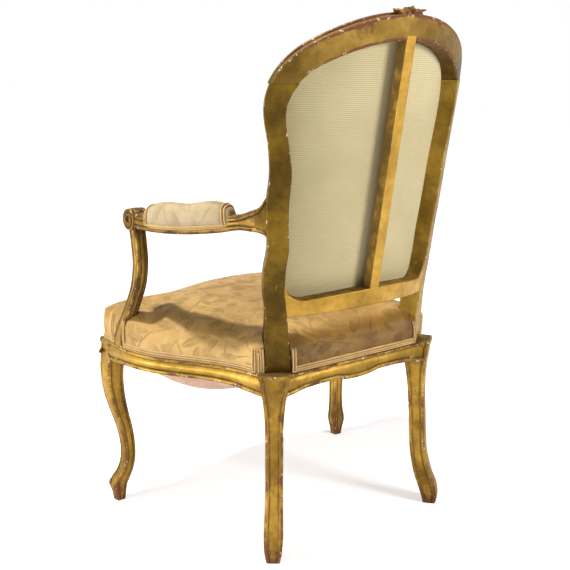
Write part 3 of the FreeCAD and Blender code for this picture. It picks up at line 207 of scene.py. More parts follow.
def moulded(radius, inset, groove, crown, sides="ENWS", dark_sides=""):
    """Section with rounded edges and, on the named sides, a quirk beside each edge and a swelling field.

    Each point is (across, deep, wear, grime and shade). E and W face across, N and S face along the depth. The
    dark sides carry the grime and shade mark all over, which on the back strut's side is painted shade.
    """
    def section(width, depth):
        half = {"E": (width / 2, depth / 2), "N": (depth / 2, width / 2),
                "W": (width / 2, depth / 2), "S": (depth / 2, width / 2)}
        points = []
        for number, side in enumerate("ENWS"):
            out, reach = half[side]
            turn = number * math.pi / 2
            face = [(reach - radius, 0, 0.6, 0)]
            if side in sides and reach > inset + 3:
                edge = reach - inset
                field = [(edge + 1.4, 0.2, 0.5, 0.3), (edge, -groove, 0, 1),
                         (edge - 1.4, -0.15 * groove, 0.5, 0.4), (0.45 * edge, crown * 0.6, 0.1, 0)]
                face += field + [(0, crown, 0.1, 0)] + [(-along, *rest) for along, *rest in field[::-1]]
            else:
                face += [(share * (reach - radius), 0, 0, 0.9 if side in dark_sides else 0) for share in
                         (0.9, 0.7, 0.5, 0.25, 0, -0.25, -0.5, -0.7, -0.9)]
            face.append((-(reach - radius), 0, 0.6, 0))
            bare = [(out + lift, -along, wear, grime_and_shade) for along, lift, wear, grime_and_shade in face]
            for share in (0.25, 0.5, 0.75):
                angle = share * math.pi / 2
                bare.append((out - radius + radius * math.cos(angle),
                             reach - radius + radius * math.sin(angle), 1, 0))
            c, s = math.cos(turn), math.sin(turn)
            points += [(x * c - y * s, x * s + y * c, wear, grime_and_shade) for x, y, wear, grime_and_shade in bare]
        return np.array(points)
    return section


# Materials

class Paint:
    """A node material under construction."""

    def __init__(self, name):
        self.material = bpy.data.materials.new(name)
        self.material.use_nodes = True
        self.tree = self.material.node_tree
        self.shader = self.tree.nodes["Principled BSDF"]
        self.place = self.node("ShaderNodeTexCoord").outputs["Object"]

    def link(self, value, socket):
        """Gives a socket a link, or else a value. A colour comes as three numbers."""
        if isinstance(value, bpy.types.NodeSocket):
            self.tree.links.new(value, socket)
        else:
            socket.default_value = (*value, 1) if socket.type == "RGBA" else value

    def node(self, kind, inputs=None, **settings):
        """Node with its settings, and with links or values in its inputs."""
        made = self.tree.nodes.new(kind)
        for key, value in settings.items():
            setattr(made, key, value)
        for socket, value in (inputs or {}).items():
            self.link(value, made.inputs[socket])
        return made

    def weave(self):
        return self.node("ShaderNodeUVMap", uv_map="weave").outputs["UV"]

    def value(self, title):
        return self.node("ShaderNodeAttribute", attribute_name=title).outputs["Fac"]

    def noise(self, scale, detail=4, rough=0.55, stretch=None):
        where = self.place
        if stretch:
            where = self.node("ShaderNodeMapping", {"Vector": where, "Scale": stretch}).outputs["Vector"]
        return self.node("ShaderNodeTexNoise", {"Vector": where, "Scale": scale, "Detail": detail,
                                                "Roughness": rough}).outputs["Fac"]

    def math(self, operation, first, second=0.0, third=0.0):
        return self.node("ShaderNodeMath", {0: first, 1: second, 2: third}, operation=operation).outputs[0]

    def plus(self, first, second):
        return self.math("ADD", first, second)

    def times(self, first, second):
        return self.math("MULTIPLY", first, second)

    def most(self, first, second):
        return self.math("MAXIMUM", first, second)

    def wave(self, value, period):
        return self.math("SINE", self.times(value, TURN / period))

    def axes(self, vector):
        """The three numbers of a vector."""
        return self.node("ShaderNodeSeparateXYZ", {0: vector}).outputs

    def between(self, value, low, high):
        """Value taken from low..high to 0..1, with soft ends."""
        return self.node("ShaderNodeMapRange", {"Value": value, "From Min": low, "From Max": high},
                         interpolation_type="SMOOTHSTEP").outputs["Result"]

    def mix(self, share, first, second, how="MIX"):
        return self.node("ShaderNodeMix", {"Factor": share, "A": first, "B": second}, data_type="RGBA",
                         blend_type=how).outputs["Result"]

    def bump(self, height, strength, distance, under=None):
        inputs = {"Strength": strength, "Distance": distance, "Height": height}
        if under:
            inputs["Normal"] = under
        return self.node("ShaderNodeBump", inputs).outputs["Normal"]

    def finish(self, color, rough, normal=None, metal=None, **others):
        given = {"Base_Color": color, "Roughness": rough, "Normal": normal, "Metallic": metal, **others}
        for title, value in given.items():
            if value is not None:
                self.link(value, self.shader.inputs[title.replace("_", " ")])
        return self.material


def gilding(name, bright, deep, bole, worn, chips, rubbed=None, painted_shade_heights=None):
    """Old leaf over red bole and white gesso: cloudy gold, bole on the edges, chips, grime in the quirks, and
    painted shade on sides darkened all over.

    Between the two heights of rubbed, in metres, handling has taken the leaf down to the
    bole. Painted shade darkens the leaf most at the first height of painted_shade_heights and is gone at the
    second.
    """
    paint = Paint(name)
    height = paint.axes(paint.place)[2]
    cloud = paint.between(paint.noise(11, 5, 0.6), 0.3, 0.7)
    gold = paint.mix(cloud, deep, bright)
    fine = paint.between(paint.noise(70, 5, 0.65), 0.35, 0.75)
    gold = paint.mix(paint.times(fine, 0.35), gold, tuple(0.45 * c for c in deep))
    # Painted shade: the leaf darkened towards the lower of the painted shade heights, on the crest's ends
    # beside the stiles
    if painted_shade_heights:
        gold = paint.mix(paint.between(height, painted_shade_heights[1], painted_shade_heights[0]), gold, (0.5, 0.47, 0.36), "MULTIPLY")
    stain = paint.times(paint.between(paint.noise(48, 7, 0.75), 0.52, 0.66), 0.85 * worn)
    gold = paint.mix(stain, gold, (0.085, 0.045, 0.012))
    edge = paint.value("wear")
    patch = paint.noise(26, 6, 0.7)
    worn_edge = paint.plus(patch, paint.times(edge, 0.22))
    if rubbed:
        worn_edge = paint.plus(worn_edge, paint.times(paint.between(height, *rubbed), 0.26))
    rub = paint.between(worn_edge, 0.80 - 0.25 * worn, 0.93 - 0.25 * worn)
    chip = paint.between(paint.plus(paint.noise(120, 3, 0.7), paint.times(edge, 0.17)),
                         0.84 - 0.08 * chips, 0.87 - 0.08 * chips)
    # Grime in the quirks and in the knuckles' rings, and painted shade on whole sides marked dark, such as the
    # back strut's side
    dirt_and_shade = paint.times(paint.value("grime_and_shade"), paint.between(paint.noise(45, 4), 0.25, 0.6))
    color = paint.mix(rub, gold, bole)
    color = paint.mix(paint.times(dirt_and_shade, 0.75), color, (0.035, 0.022, 0.008))
    color = paint.mix(chip, color, (0.56, 0.44, 0.31))
    bare = paint.most(paint.most(rub, chip), dirt_and_shade)
    metal = paint.math("MULTIPLY_ADD", bare, -0.6, 0.7)
    rough = paint.plus(paint.math("MULTIPLY_ADD", bare, 0.2, 0.43), paint.times(fine, 0.12))
    pits = paint.plus(paint.noise(230, 4, 0.6), paint.times(chip, -1.2))
    normal = paint.bump(paint.noise(34, 5, 0.5), 0.18, 0.002, paint.bump(pits, 0.22, 0.0006))
    return paint.finish(color, rough, normal, metal, Specular_IOR_Level=0.2)


def leaf_mask(paint, at, scale, length, width, seed):
    """Scattered leaves, each at its own turn, with a serrated edge and a midrib."""
    moved = paint.node("ShaderNodeVectorMath", {0: at, 1: (seed, 0.7 * seed, 0)}, operation="ADD").outputs[0]
    cells = paint.node("ShaderNodeTexVoronoi", {"Vector": moved, "Scale": scale, "Randomness": 0.75},
                       voronoi_dimensions="2D").outputs
    local = paint.node("ShaderNodeVectorMath", {0: moved, 1: cells["Position"]}, operation="SUBTRACT")
    angle = paint.times(paint.node("ShaderNodeSeparateColor", {0: cells["Color"]}).outputs[0], 6.283)
    turned = paint.node("ShaderNodeVectorRotate", {"Vector": local.outputs[0], "Angle": angle},
                        rotation_type="Z_AXIS")
    along, across = paint.axes(turned.outputs[0])[:2]
    aside = paint.math("ABSOLUTE", across)
    saw = paint.math("PINGPONG", paint.plus(along, aside), 0.004)
    oval = paint.plus(paint.math("POWER", paint.math("DIVIDE", along, length), 2.0),
                      paint.math("POWER", paint.math("DIVIDE", aside, width), 1.4))
    leaf = paint.between(paint.plus(oval, paint.times(saw, 55)), 1.08, 0.96)
    rib = paint.between(aside, 0.0003, 0.0011)
    return paint.times(leaf, paint.math("MULTIPLY_ADD", rib, 0.6, 0.4))


def damask(name, ground, figure, shade, figured):
    """Satin damask: a lustrous ground with matt leaves and trailing stems, over a fine warp."""
    paint = Paint(name)
    at = paint.weave()
    leaves = paint.most(leaf_mask(paint, at, 17, 0.026, 0.0105, 0.0),
                        leaf_mask(paint, at, 27, 0.017, 0.0075, 3.7))
    wander = paint.node("ShaderNodeTexNoise", {"Vector": at, "Scale": 14}).outputs["Color"]
    bent = paint.node("ShaderNodeVectorMath", {0: wander, 1: (0.03, 0.03, 0), 2: at}, operation="MULTIPLY_ADD")
    stems = paint.node("ShaderNodeTexVoronoi", {"Vector": bent.outputs[0], "Scale": 9}, voronoi_dimensions="2D",
                       feature="DISTANCE_TO_EDGE")
    stem = paint.between(stems.outputs["Distance"], 0.022, 0.012)
    woven_in = paint.math("MULTIPLY_ADD", paint.between(paint.noise(38, 4, 0.6), 0.35, 0.62), 0.75, 0.25)
    figure_mask = paint.times(paint.most(leaves, stem), woven_in)
    cloth = paint.mix(paint.between(paint.noise(13, 6, 0.65), 0.32, 0.68), ground, shade)
    color = paint.mix(paint.times(figure_mask, figured), cloth, figure)
    soil = paint.between(paint.noise(21, 5, 0.65), 0.58, 0.82)
    color = paint.mix(paint.times(soil, 0.35), color, (0.25, 0.155, 0.05))
    # The rear of the seat, below the back, is darkened: painted shade cast by the back
    _, depth, height = paint.axes(paint.place)
    rear = paint.times(paint.between(depth, 0.118, 0.15), paint.between(height, 0.46, 0.43))
    color = paint.mix(paint.times(rear, 0.95), color, (0.36, 0.28, 0.07), "MULTIPLY")
    along, across = paint.axes(at)[:2]
    thread = paint.plus(paint.times(paint.wave(along, 0.0009), 0.6),
                        paint.times(paint.wave(across, 0.0014), 0.4))
    creases = paint.noise(30, 4, 0.5)
    normal = paint.bump(creases, 0.25, 0.006, paint.bump(thread, 0.25, 0.0002))
    rough = paint.math("MULTIPLY_ADD", figure_mask, 0.15, 0.52)
    return paint.finish(color, rough, normal, Sheen_Weight=0.03, Sheen_Roughness=0.4, Specular_IOR_Level=0.3)


def ribbed(name, color, shade, period):
    """Ribbed cotton: fine cords across, with a soft variation of tone."""
    paint = Paint(name)
    along, across = paint.axes(paint.weave())[:2]
    cord, thread = paint.wave(across, period), paint.wave(along, 0.0011)
    lift = paint.plus(cord, paint.times(thread, 0.25))
    tone = paint.between(paint.noise(7, 3), 0.3, 0.75)
    cloth = paint.mix(tone, color, shade)
    cloth = paint.mix(paint.between(cord, 0.3, -0.9), cloth, tuple(0.9 * c for c in shade))
    normal = paint.bump(lift, 0.35, 0.0005)
    return paint.finish(cloth, 0.82, normal, Sheen_Weight=0.05)


def woven(name, color, shade, period, rough=0.85):
    """Plain woven cloth or braid, with its threads over and under."""
    paint = Paint(name)
    x, y, z = paint.axes(paint.place)
    thread = paint.times(paint.wave(paint.plus(x, z), period), paint.wave(paint.plus(y, z), period))
    cloth = paint.mix(paint.between(paint.noise(40, 5, 0.65), 0.3, 0.7), color, shade)
    cloth = paint.mix(paint.between(thread, 0.3, -0.9), cloth, tuple(0.6 * c for c in shade))
    return paint.finish(cloth, rough, paint.bump(thread, 0.35, 0.0004), Sheen_Weight=0.15)


# Bright leaf, deep leaf and bole; how worn and how chipped; heights rubbed and of painted shade
# The left stile's gilding is a darker copy and the right stile's a lighter copy of one gilding: painted shade
# and painted light
GILT_STILE_PAINTED_SHADE = gilding("gilding_stile_painted_shade", (0.185, 0.105, 0.010), (0.06, 0.032, 0.003),
                    (0.10, 0.034, 0.008), 0.2, 0.9)
GILT_STILE_PAINTED_LIGHT = gilding("gilding_stile_painted_light", (0.36, 0.215, 0.03), (0.15, 0.084, 0.009),
                     (0.12, 0.042, 0.010), 0.25, 0.9)
# The crest's gilding is rubbed to the bole towards its top, and darkened towards its ends beside the stiles as
# painted shade
GILT_CREST = gilding("gilding_rubbed_and_painted_shade", (0.33, 0.20, 0.04), (0.13, 0.07, 0.010),
                     (0.14, 0.052, 0.016), 0.25, 0.9, (0.83, 0.95), (0.82, 0.93))
GILT_BRIGHT = gilding("gilding_bright", (0.54, 0.315, 0.055), (0.30, 0.165, 0.022),
                      (0.17, 0.07, 0.018), 0.2, 0.25)
GILT_RAIL = gilding("gilding_rails", (0.46, 0.27, 0.045), (0.19, 0.105, 0.012),
                    (0.125, 0.045, 0.011), 0.5, 1.0)
GILT_LEG = gilding("gilding_legs", (0.46, 0.26, 0.038), (0.16, 0.085, 0.010),
                   (0.14, 0.052, 0.015), 0.5, 0.8, (0.06, 0.0))
GILT_ARM = gilding("gilding_arms", (0.34, 0.20, 0.035), (0.12, 0.062, 0.011),
                   (0.085, 0.03, 0.011), 0.75, 0.7)
# Ground, figure and shade; how strongly figured
SEAT_DAMASK = damask("seat_satin_damask", (0.50, 0.308, 0.098), (0.215, 0.13, 0.035),
                     (0.33, 0.185, 0.043), 0.65)
PAD_DAMASK = damask("pad_satin_damask", (0.42, 0.32, 0.185), (0.27, 0.19, 0.08), (0.34, 0.25, 0.125), 0.6)
LINING = ribbed("ribbed_lining", (0.56, 0.47, 0.265), (0.45, 0.375, 0.20), 0.0032)
BRAID = woven("braid_thread", (0.72, 0.48, 0.19), (0.56, 0.35, 0.12), 0.0012, 0.7)
BOTTOM = woven("faded_bottom_cloth", (0.62, 0.40, 0.29), (0.50, 0.30, 0.21), 0.0014)
WEBBING = woven("jute_webbing", (0.40, 0.30, 0.17), (0.30, 0.21, 0.11), 0.004)
CANVAS = woven("hessian", (0.50, 0.39, 0.22), (0.40, 0.30, 0.16), 0.003)


def plain_iron():
    paint = Paint("dark_iron")
    tone = paint.mix(paint.between(paint.noise(300, 4), 0.3, 0.7), (0.05, 0.04, 0.03), (0.12, 0.08, 0.05))
    return paint.finish(tone, 0.55, paint.bump(paint.noise(500), 0.2, 0.0004), 0.7)


def bare_beech():
    paint = Paint("bare_beech")
    grain = paint.noise(60, 4, 0.6, stretch=(1, 1, 0.1))
    tone = paint.mix(paint.between(grain, 0.3, 0.7), (0.42, 0.25, 0.12), (0.30, 0.16, 0.07))
    return paint.finish(tone, 0.6)


# The bowed back

def back_face_y(z):
    return RAIL_BACK + BACK_SETBACK + (z - LOWER_RAIL_TOP) * RAKE


def back_point(angle, z, depth):
    """Point of the bowed back, at an angle from its middle and a depth before its rear face."""
    radius = BACK_RADIUS - depth
    return np.array([radius * math.sin(angle), back_face_y(z) - BACK_RADIUS + radius * math.cos(angle), z])


def back_angle(x):
    """Angle from the middle of the bowed back to a distance across it."""
    return math.asin(x / BACK_RADIUS)


def back_axes(angle):
    """Directions across the bowed back and out through its rear face, or of a leg turned by the angle."""
    return np.array([math.cos(angle), -math.sin(angle), 0]), np.array([math.sin(angle), math.cos(angle), 0])


class Arch:
    """Three-centred arch: round shoulders and a flatter crown."""

    def __init__(self, spread, spring, apex, shoulder):
        self.half, self.spring, self.apex, self.shoulder = spread / 2, spring, apex, shoulder
        rise = apex - spring
        self.crown = (self.half**2 - 2 * self.half * shoulder + rise**2) / (2 * (rise - shoulder))
        self.turn = math.asin((self.half - shoulder) / (self.crown - shoulder))
        self.crown_z = apex - self.crown

    def half_width(self, z):
        if z <= self.spring:
            return self.half
        if z < self.crown_z + self.crown * math.cos(self.turn):
            return self.half - self.shoulder + math.sqrt(self.shoulder**2 - (z - self.spring) ** 2)
        return math.sqrt(max(self.crown**2 - (z - self.crown_z) ** 2, 0))

    def point(self, share, low):
        """Left half of the arch from height low at 0, through the shoulder at a half, to the apex at 1."""
        if share <= 0.5:
            start = math.asin((low - self.spring) / self.shoulder)
            angle = blend(start, math.pi / 2 - self.turn, 2 * share)
            return (self.half - self.shoulder + self.shoulder * math.cos(angle),
                    self.spring + self.shoulder * math.sin(angle))
        angle = self.turn * (2 - 2 * share)
        return self.crown * math.sin(angle), self.crown_z + self.crown * math.cos(angle)


def opening_arch(grow):
    """Arch over the opening of the back, grown all round."""
    return Arch(OPENING_SPREAD + 2 * grow, OPENING_SPRING, OPENING_APEX + grow, OPENING_SHOULDER + grow)


OUTER_ARCH = Arch(445, 802, CREST_TOP, 108)
INNER_ARCH = opening_arch(0)
# Share of the stile's height, sway outwards and share of its width
STILE_OUTLINE = [(-0.06, 0, 1.19), (0.015, 0, 1.22), (0.125, 1, 1.14), (0.215, 1, 1.0), (0.30, 5, 1.03),
                 (0.37, 5, 1.03), (0.45, 1, 0.99), (0.53, 3, 1.0), (0.61, 3.5, 1.02), (0.71, 1, 0.98),
                 (0.80, 5, 0.93), (0.905, 11, 0.98)]
STILE_FOOT_SHARE, STILE_FOOT_KICK = 0.3, 11


def stile_stations():
    """(height, middle, width) up the left stile."""
    seam_x = (OUTER_ARCH.half_width(SEAM_HEIGHT) + INNER_ARCH.half_width(SEAM_HEIGHT)) / 2
    stations = [(RAIL_TOP + share * STILE_HEIGHT, blend(STILE_X, seam_x, max(share, 0)) + sway,
                 width * STILE_WIDTH) for share, sway, width in STILE_OUTLINE]
    # Past the opening's widest part the stile follows the two arches up to the seam
    for z in (798, 809, 820, SEAM_HEIGHT):
        outer, inner = OUTER_ARCH.half_width(z), INNER_ARCH.half_width(z)
        middle = (outer + inner) / 2
        stations.append((z, middle, (outer - inner) / math.cos(back_angle(middle))))
    return stations


def stile_at(z):
    """Middle and width of the left stile at a height."""
    heights, middles, widths = zip(*stile_stations())
    return np.interp(z, heights, middles), np.interp(z, heights, widths)


def opening_half_width(z):
    if z >= OPENING_SPRING:
        return INNER_ARCH.half_width(z)
    middle, width = stile_at(z)
    return middle - width / 2 * math.cos(back_angle(middle))


def stile_rows():
    rows = []
    for z, x, width in stile_stations():
        angle = back_angle(x)
        across, out = back_axes(angle)
        left = max(0, 1 - max((z - RAIL_TOP) / STILE_HEIGHT, 0) / STILE_FOOT_SHARE)
        centre = back_point(angle, z, FRAME_THICKNESS / 2) + [0, STILE_FOOT_KICK * left * left, 0]
        rows.append([*centre, *across, *out, width, FRAME_THICKNESS])
    return rows


# Share of the leg's height, share of its kick and width
REAR_LEG = [(0.0, 1.0, 25), (0.035, 1.0, 29.5), (0.10, 0.88, 34), (0.18, 0.60, 33.1), (0.30, 0.33, 31),
            (0.54, 0.17, 31), (0.75, 0.06, 33.5), (0.86, 0.02, 40.5), (0.945, 0.0, 49.9), (0.972, 0, 51.4),
            (0.98, 0, 55), (0.995, 0, 55.5), (1.004, 0, 53.5)]
REAR_KICK_X, REAR_KICK_Y = 23.5, 26
FRONT_LEG = [(0.0, 0.0, 19), (0.045, 0.0, 22.5), (0.095, -0.07, 28.5), (0.14, 0.2, 29), (0.19, 0.62, 26),
             (0.27, 0.97, 24), (0.38, 0.95, 24), (0.48, 0.65, 26), (0.58, 0.2, 29), (0.68, -0.13, 32.3),
             (0.78, -0.24, 34.7), (0.88, -0.13, 36.6), (0.95, 0.0, 37), (0.972, 0, 37.2), (0.98, 0, 39.5),
             (0.995, 0, 40), (1.004, 0, 38.5)]
FRONT_SWAY = 15


def rear_leg_rows():
    across, out = back_axes(REAR_LEG_TURN)
    return [[POST_X + REAR_KICK_X * kick, POST_Y + REAR_KICK_Y * kick, share * RAIL_TOP,
             *across, *out, width, width] for share, kick, width in REAR_LEG]


def front_leg_rows():
    return [[LEG_X - FRONT_SWAY * sway, LEG_Y + FRONT_SWAY * sway, share * RAIL_TOP,
             1, 0, 0, 0, -1, 0, width, width] for share, sway, width in FRONT_LEG]


for side, flip in SIDES:
    # Left stile in the darker copy of the gilding (painted shade), right stile in the lighter copy (painted
    # light)
    sweep(f"rear_stile_{side}", stile_rows(), moulded(2.2, 7, 1.4, 0.8, "S"), GILT_STILE_PAINTED_LIGHT if flip else GILT_STILE_PAINTED_SHADE,
          (), 4, flip)
    sweep(f"rear_leg_{side}", rear_leg_rows(), moulded(4.5, 7.5, 0.9, 0.7), GILT_LEG,
          (f"rear_post_{side}",), 3, flip)
    sweep(f"front_leg_moulded_{side}", front_leg_rows(), moulded(4, 6.5, 1.3, 0.8), GILT_LEG,
          (f"front_leg_{side}",), 3, flip)


def crest_run():
    """Steps over the crest from the left stile to the right one, as a side and a share of the arch's half."""
    shares = np.linspace(0, 1, 25)
    return [(1, share) for share in shares] + [(-1, share) for share in shares[-2::-1]]


def crest_rows():
    """Sections square to the crest rail, from the left stile over the crown to the right one."""
    rows = []
    for side, share in crest_run():
        outer, inner = OUTER_ARCH.point(share, SEAM_HEIGHT), INNER_ARCH.point(share, SEAM_HEIGHT)
        top, low = (back_point(side * back_angle(x), z, FRAME_THICKNESS / 2) for x, z in (outer, inner))
        angle = side * back_angle(abs(outer[0] + inner[0]) / 2)
        rows.append([*((top + low) / 2), *unit(top - low), *back_axes(angle)[1], np.linalg.norm(top - low),
                     FRAME_THICKNESS])
    return rows


sweep("crest_rail_moulded", crest_rows(), moulded(5, 8, 1.4, 0.8, "S"), GILT_CREST, ("crest_rail",), 4)


LIP_RISE, LIP_DEPTH = 4, 13


def crest_lip_rows():
    """Moulding proud of the crest's outer front edge."""
    rows = []
    for side, share in crest_run():
        x, z = OUTER_ARCH.point(share, SEAM_HEIGHT)
        angle = side * back_angle(x)
        across, out = back_axes(angle)
        before = OUTER_ARCH.point(max(share - 0.02, 0), SEAM_HEIGHT)
        after = OUTER_ARCH.point(min(share + 0.02, 1), SEAM_HEIGHT)
        slope = unit([after[1] - before[1], before[0] - after[0]])
        across = across * side * slope[0] + np.array([0, RAKE, 1]) * slope[1]
        rows.append([*back_point(angle, z, FRAME_THICKNESS - LIP_DEPTH / 2), *across, *out,
                     2 * LIP_RISE, LIP_DEPTH])
    return rows


sweep("crest_lip", crest_lip_rows(), moulded(3.2, 6, 0, 0, ""), GILT_CREST, (), 4)
LEAF_BACK, LEAF_CUP = 2.4, 0.25


def carved_leaf(root, ahead, outward, length, width, curl):
    """Points and faces of a carved leaf or petal: a cupped, curling blade with a midrib and a closed back."""
    ahead, outward = unit(ahead), unit(outward)
    side = np.cross(outward, ahead)
    rows, columns = 9, 7
    face, wear = [], []
    for row in range(rows + 1):
        share = row / rows
        half = width / 2 * math.sin(math.pi * (0.12 + 0.86 * share) ** 0.9) ** 0.8
        half *= 1 + 0.1 * math.cos(share * 6 * math.pi)
        for column in range(columns + 1):
            across = 2 * column / columns - 1
            midrib = 0.12 * width * max(0, 1 - 5 * abs(across))
            lift = curl * length * share**2 + LEAF_CUP * half * across**2 + midrib
            face.append(root + ahead * length * share * (1 - 0.15 * curl * share) + side * half * across
                        + outward * lift)
            wear.append(0.3 + 0.7 * abs(across))
    front = np.array(face)
    points, faces = closed_sheet(front, front - outward * LEAF_BACK, columns, rows)
    return points, faces, wear + [0.2] * len(front)


def carved_boss(middle, outward, radius):
    """Points and faces of a small domed boss."""
    outward = unit(outward)
    first = unit(np.cross(outward, [0.3, 0.2, 0.9]))
    second = np.cross(outward, first)
    rings = []
    for angle in np.linspace(0, 1, 6) * math.pi / 2:
        reach = max(math.cos(angle), 0.04) * radius
        rings.append(hoop(middle + outward * radius * math.sin(angle), first, second, reach, 12))
    points = np.concatenate(rings)
    return points, skin(rings), [0.8] * len(points)


def carve(name, parts, material):
    """One piece from carved leaves and bosses."""
    points, faces, wear = [], [], []
    for part_points, part_faces, part_wear in parts:
        start = sum(len(p) for p in points)
        points.append(part_points)
        faces += [tuple(start + v for v in face) for face in part_faces]
        wear += part_wear
    return make_piece(name, np.concatenate(points), faces, material, "gilded_wood", (), None,
                      {"wear": wear, "grime_and_shade": np.zeros(len(wear))}, 60)


def flower_spray(middle, outward, along, size):
    """A five-petalled flower between two pairs of leaves."""
    outward, along = unit(outward), unit(along)
    second = np.cross(outward, along)
    parts = [carved_boss(middle + outward * 0.12 * size, outward, 0.17 * size)]
    for number in range(5):
        angle = TURN * number / 5 + math.pi / 2
        ahead = along * math.cos(angle) + second * math.sin(angle)
        parts.append(carved_leaf(middle + ahead * 0.08 * size, ahead + 0.25 * outward, outward,
                                 0.42 * size, 0.4 * size, 0.25))
    for side in (-1, 1):
        for lift, length in ((0.12, 1.05), (-0.16, 0.8)):
            ahead = along * side + second * lift
            parts.append(carved_leaf(middle + along * side * 0.34 * size, ahead, outward,
                                     length * size, 0.34 * size, 0.12))
    return parts


def crest_spray():
    """Flower spray on the middle of the crest, turned up and forward, with leaves along the rail."""
    top = back_point(0, CREST_TOP, 16)
    parts = flower_spray(top + [0, 0, 4], [0, -0.3, 1], [1, 0, 0], 27)
    parts += flower_spray(back_point(0, CREST_TOP - 4, 34), [0, -1, 0.25], [1, 0, 0], 26)
    for x, radius in ((-17, 9), (-7, 8), (8, 9), (18, 8)):
        parts.append(carved_boss(top + [x, 3, 0], [0.02 * x, 0.4, 1], radius))
    return parts


carve("crest_spray", crest_spray(), GILT_CREST)


LOWER_RAIL_SWEEP, LOWER_RAIL_LOW, LOWER_RAIL_FOOT = 34, 444, 435
STRUT_LOW, STRUT_HIGH, STRUT_SIZE = 470, 906, 20


def lower_rail_rows():
    """Cambered lower rail whose ends sweep up into the stiles."""
    half = opening_half_width(LOWER_RAIL_END + LOWER_RAIL_SWEEP) + 1
    inner = half - LOWER_RAIL_SWEEP
    outside = half + 12
    rows = []
    for x in np.linspace(-outside, outside, 61):
        reach = min(abs(x), half)
        if reach <= inner:
            top = blend(LOWER_RAIL_TOP, LOWER_RAIL_END, (reach / inner) ** 2)
        else:
            turned = math.sqrt(max(0, 1 - ((reach - inner) / LOWER_RAIL_SWEEP) ** 2))
            top = LOWER_RAIL_END + LOWER_RAIL_SWEEP * (1 - turned)
        low = blend(LOWER_RAIL_LOW, LOWER_RAIL_FOOT, (x / outside) ** 2)
        angle = back_angle(x)
        centre = back_point(angle, (top + low) / 2, FRAME_THICKNESS / 2)
        rows.append([*centre, 0, RAKE, 1, *back_axes(angle)[1], top - low, FRAME_THICKNESS])
    return rows


sweep("lower_rail_moulded", lower_rail_rows(), moulded(2.5, 7, 1.2, 0.6, "S", "E"), GILT_BRIGHT,
      ("lower_back_rail",), 4)
# The strut's side towards +x (E) is darkened all over: painted shade
sweep("back_strut_squared", [[0, back_face_y(z) - STRUT_SIZE / 2, z, 1, 0, 0, 0, 1, 0, STRUT_SIZE, STRUT_SIZE]
                             for z in np.linspace(STRUT_LOW, STRUT_HIGH, 9)],
      moulded(1.2, 6, 0, 0, "", "E"), GILT_BRIGHT, ("back_strut",), 5)


# Seat rails

CORE_TOP, CORE_LOW = 350, RAIL_TOP
BRACKET_DROP, MIDDLE_DROP = 9, 6


def rail_outline(low, core_top):
    """Moulded section of a seat rail.

    It has a core, a fillet, a quirk, a swelling face, a second quirk and a bead along the lower edge.
    """
    roll = [(12.4 + 3.2 * math.sin(math.pi * s) ** 0.8, blend(RAIL_TOP - 7, low + 9.5, s), 0.25, 0)
            for s in (0.06, 0.2, 0.4, 0.6, 0.8, 0.94)]
    return np.array([
        (-15, low, 0, 0), (-15, core_top, 0, 0), (5, core_top, 0, 0), (5, RAIL_TOP - 0.1, 0, 1),
        (10.5, RAIL_TOP, 0.4, 0.2), (13, RAIL_TOP - 0.6, 1, 0), (14, RAIL_TOP - 2, 1, 0),
        (13.8, RAIL_TOP - 4.4, 0.7, 0), (12.2, RAIL_TOP - 5.6, 0.2, 1), *roll, (12, low + 8.6, 0.1, 1),
        (13.8, low + 7.6, 0.5, 0.3), (15, low + 5.5, 0.9, 0), (15.2, low + 3.6, 1, 0), (14, low + 1.4, 1, 0),
        (11.5, low, 0.8, 0), (0, low, 0.2, 0)])


SIDE_REAR = np.array([POST_X + 14, POST_Y - 11, 0])
SIDE_FRONT = np.array([LEG_X + 3, LEG_Y + 13, 0])


def side_plan(share):
    """Middle line of the left side rail and its outward normal."""
    chord = SIDE_FRONT - SIDE_REAR
    outward = unit([-chord[1], chord[0], 0])

    def place(s):
        return SIDE_REAR + chord * s + outward * (22 * math.sin(math.pi * s) - 15 * math.sin(TURN * s))

    along = unit(place(share + 0.001) - place(share - 0.001))
    return place(share), np.array([-along[1], along[0], 0])


def front_plan(x):
    """Middle line of the serpentine front rail and its outward normal."""
    reach = SEAT_DEPTH - RAIL_THICKNESS / 2 - LEG_DEPTH
    bow = reach * (1 + math.cos(math.pi * x / LEG_X)) / 2
    slope = reach * math.pi / LEG_X * math.sin(math.pi * x / LEG_X) / 2
    return np.array([x, LEG_Y - bow, 0]), unit([slope, -1, 0])


def across_low(share):
    """Lower edge of a rail across the chair: a carved drop in the middle and brackets at the ends."""
    drop = np.interp(abs(share), [0, 0.14, 0.3], [1, 0.85, 0])
    bracket = np.interp(abs(share), [0.55, 0.75, 0.9, 1], [0, 0.2, 0.75, 1])
    return RAIL_LOW - MIDDLE_DROP * drop - BRACKET_DROP * bracket


def side_rows():
    rows = []
    for share in np.linspace(-0.02, 1.02, 40):
        point, normal = side_plan(share)
        bracket = np.interp(share, [0, 0.08, 0.18, 0.32, 0.74, 0.86, 0.94, 1],
                            [1, 0.7, 0.2, 0, 0, 0.2, 0.7, 1])
        rows.append([*point, *normal, *UP, RAIL_LOW - BRACKET_DROP * bracket,
                     CORE_TOP if share > 0.2 else CORE_LOW])
    return rows


def front_rows():
    rows = []
    for share in np.linspace(-1, 1, 61):
        point, normal = front_plan(share * (LEG_X - 14))
        rows.append([*point, *normal, *UP, across_low(share), CORE_TOP])
    return rows


def rear_rows():
    return [[share * (POST_X - 6), RAIL_MIDDLE, 0, 0, 1, 0, *UP, across_low(share),
             CORE_TOP if abs(share) < 0.75 else CORE_LOW] for share in np.linspace(-1, 1, 41)]


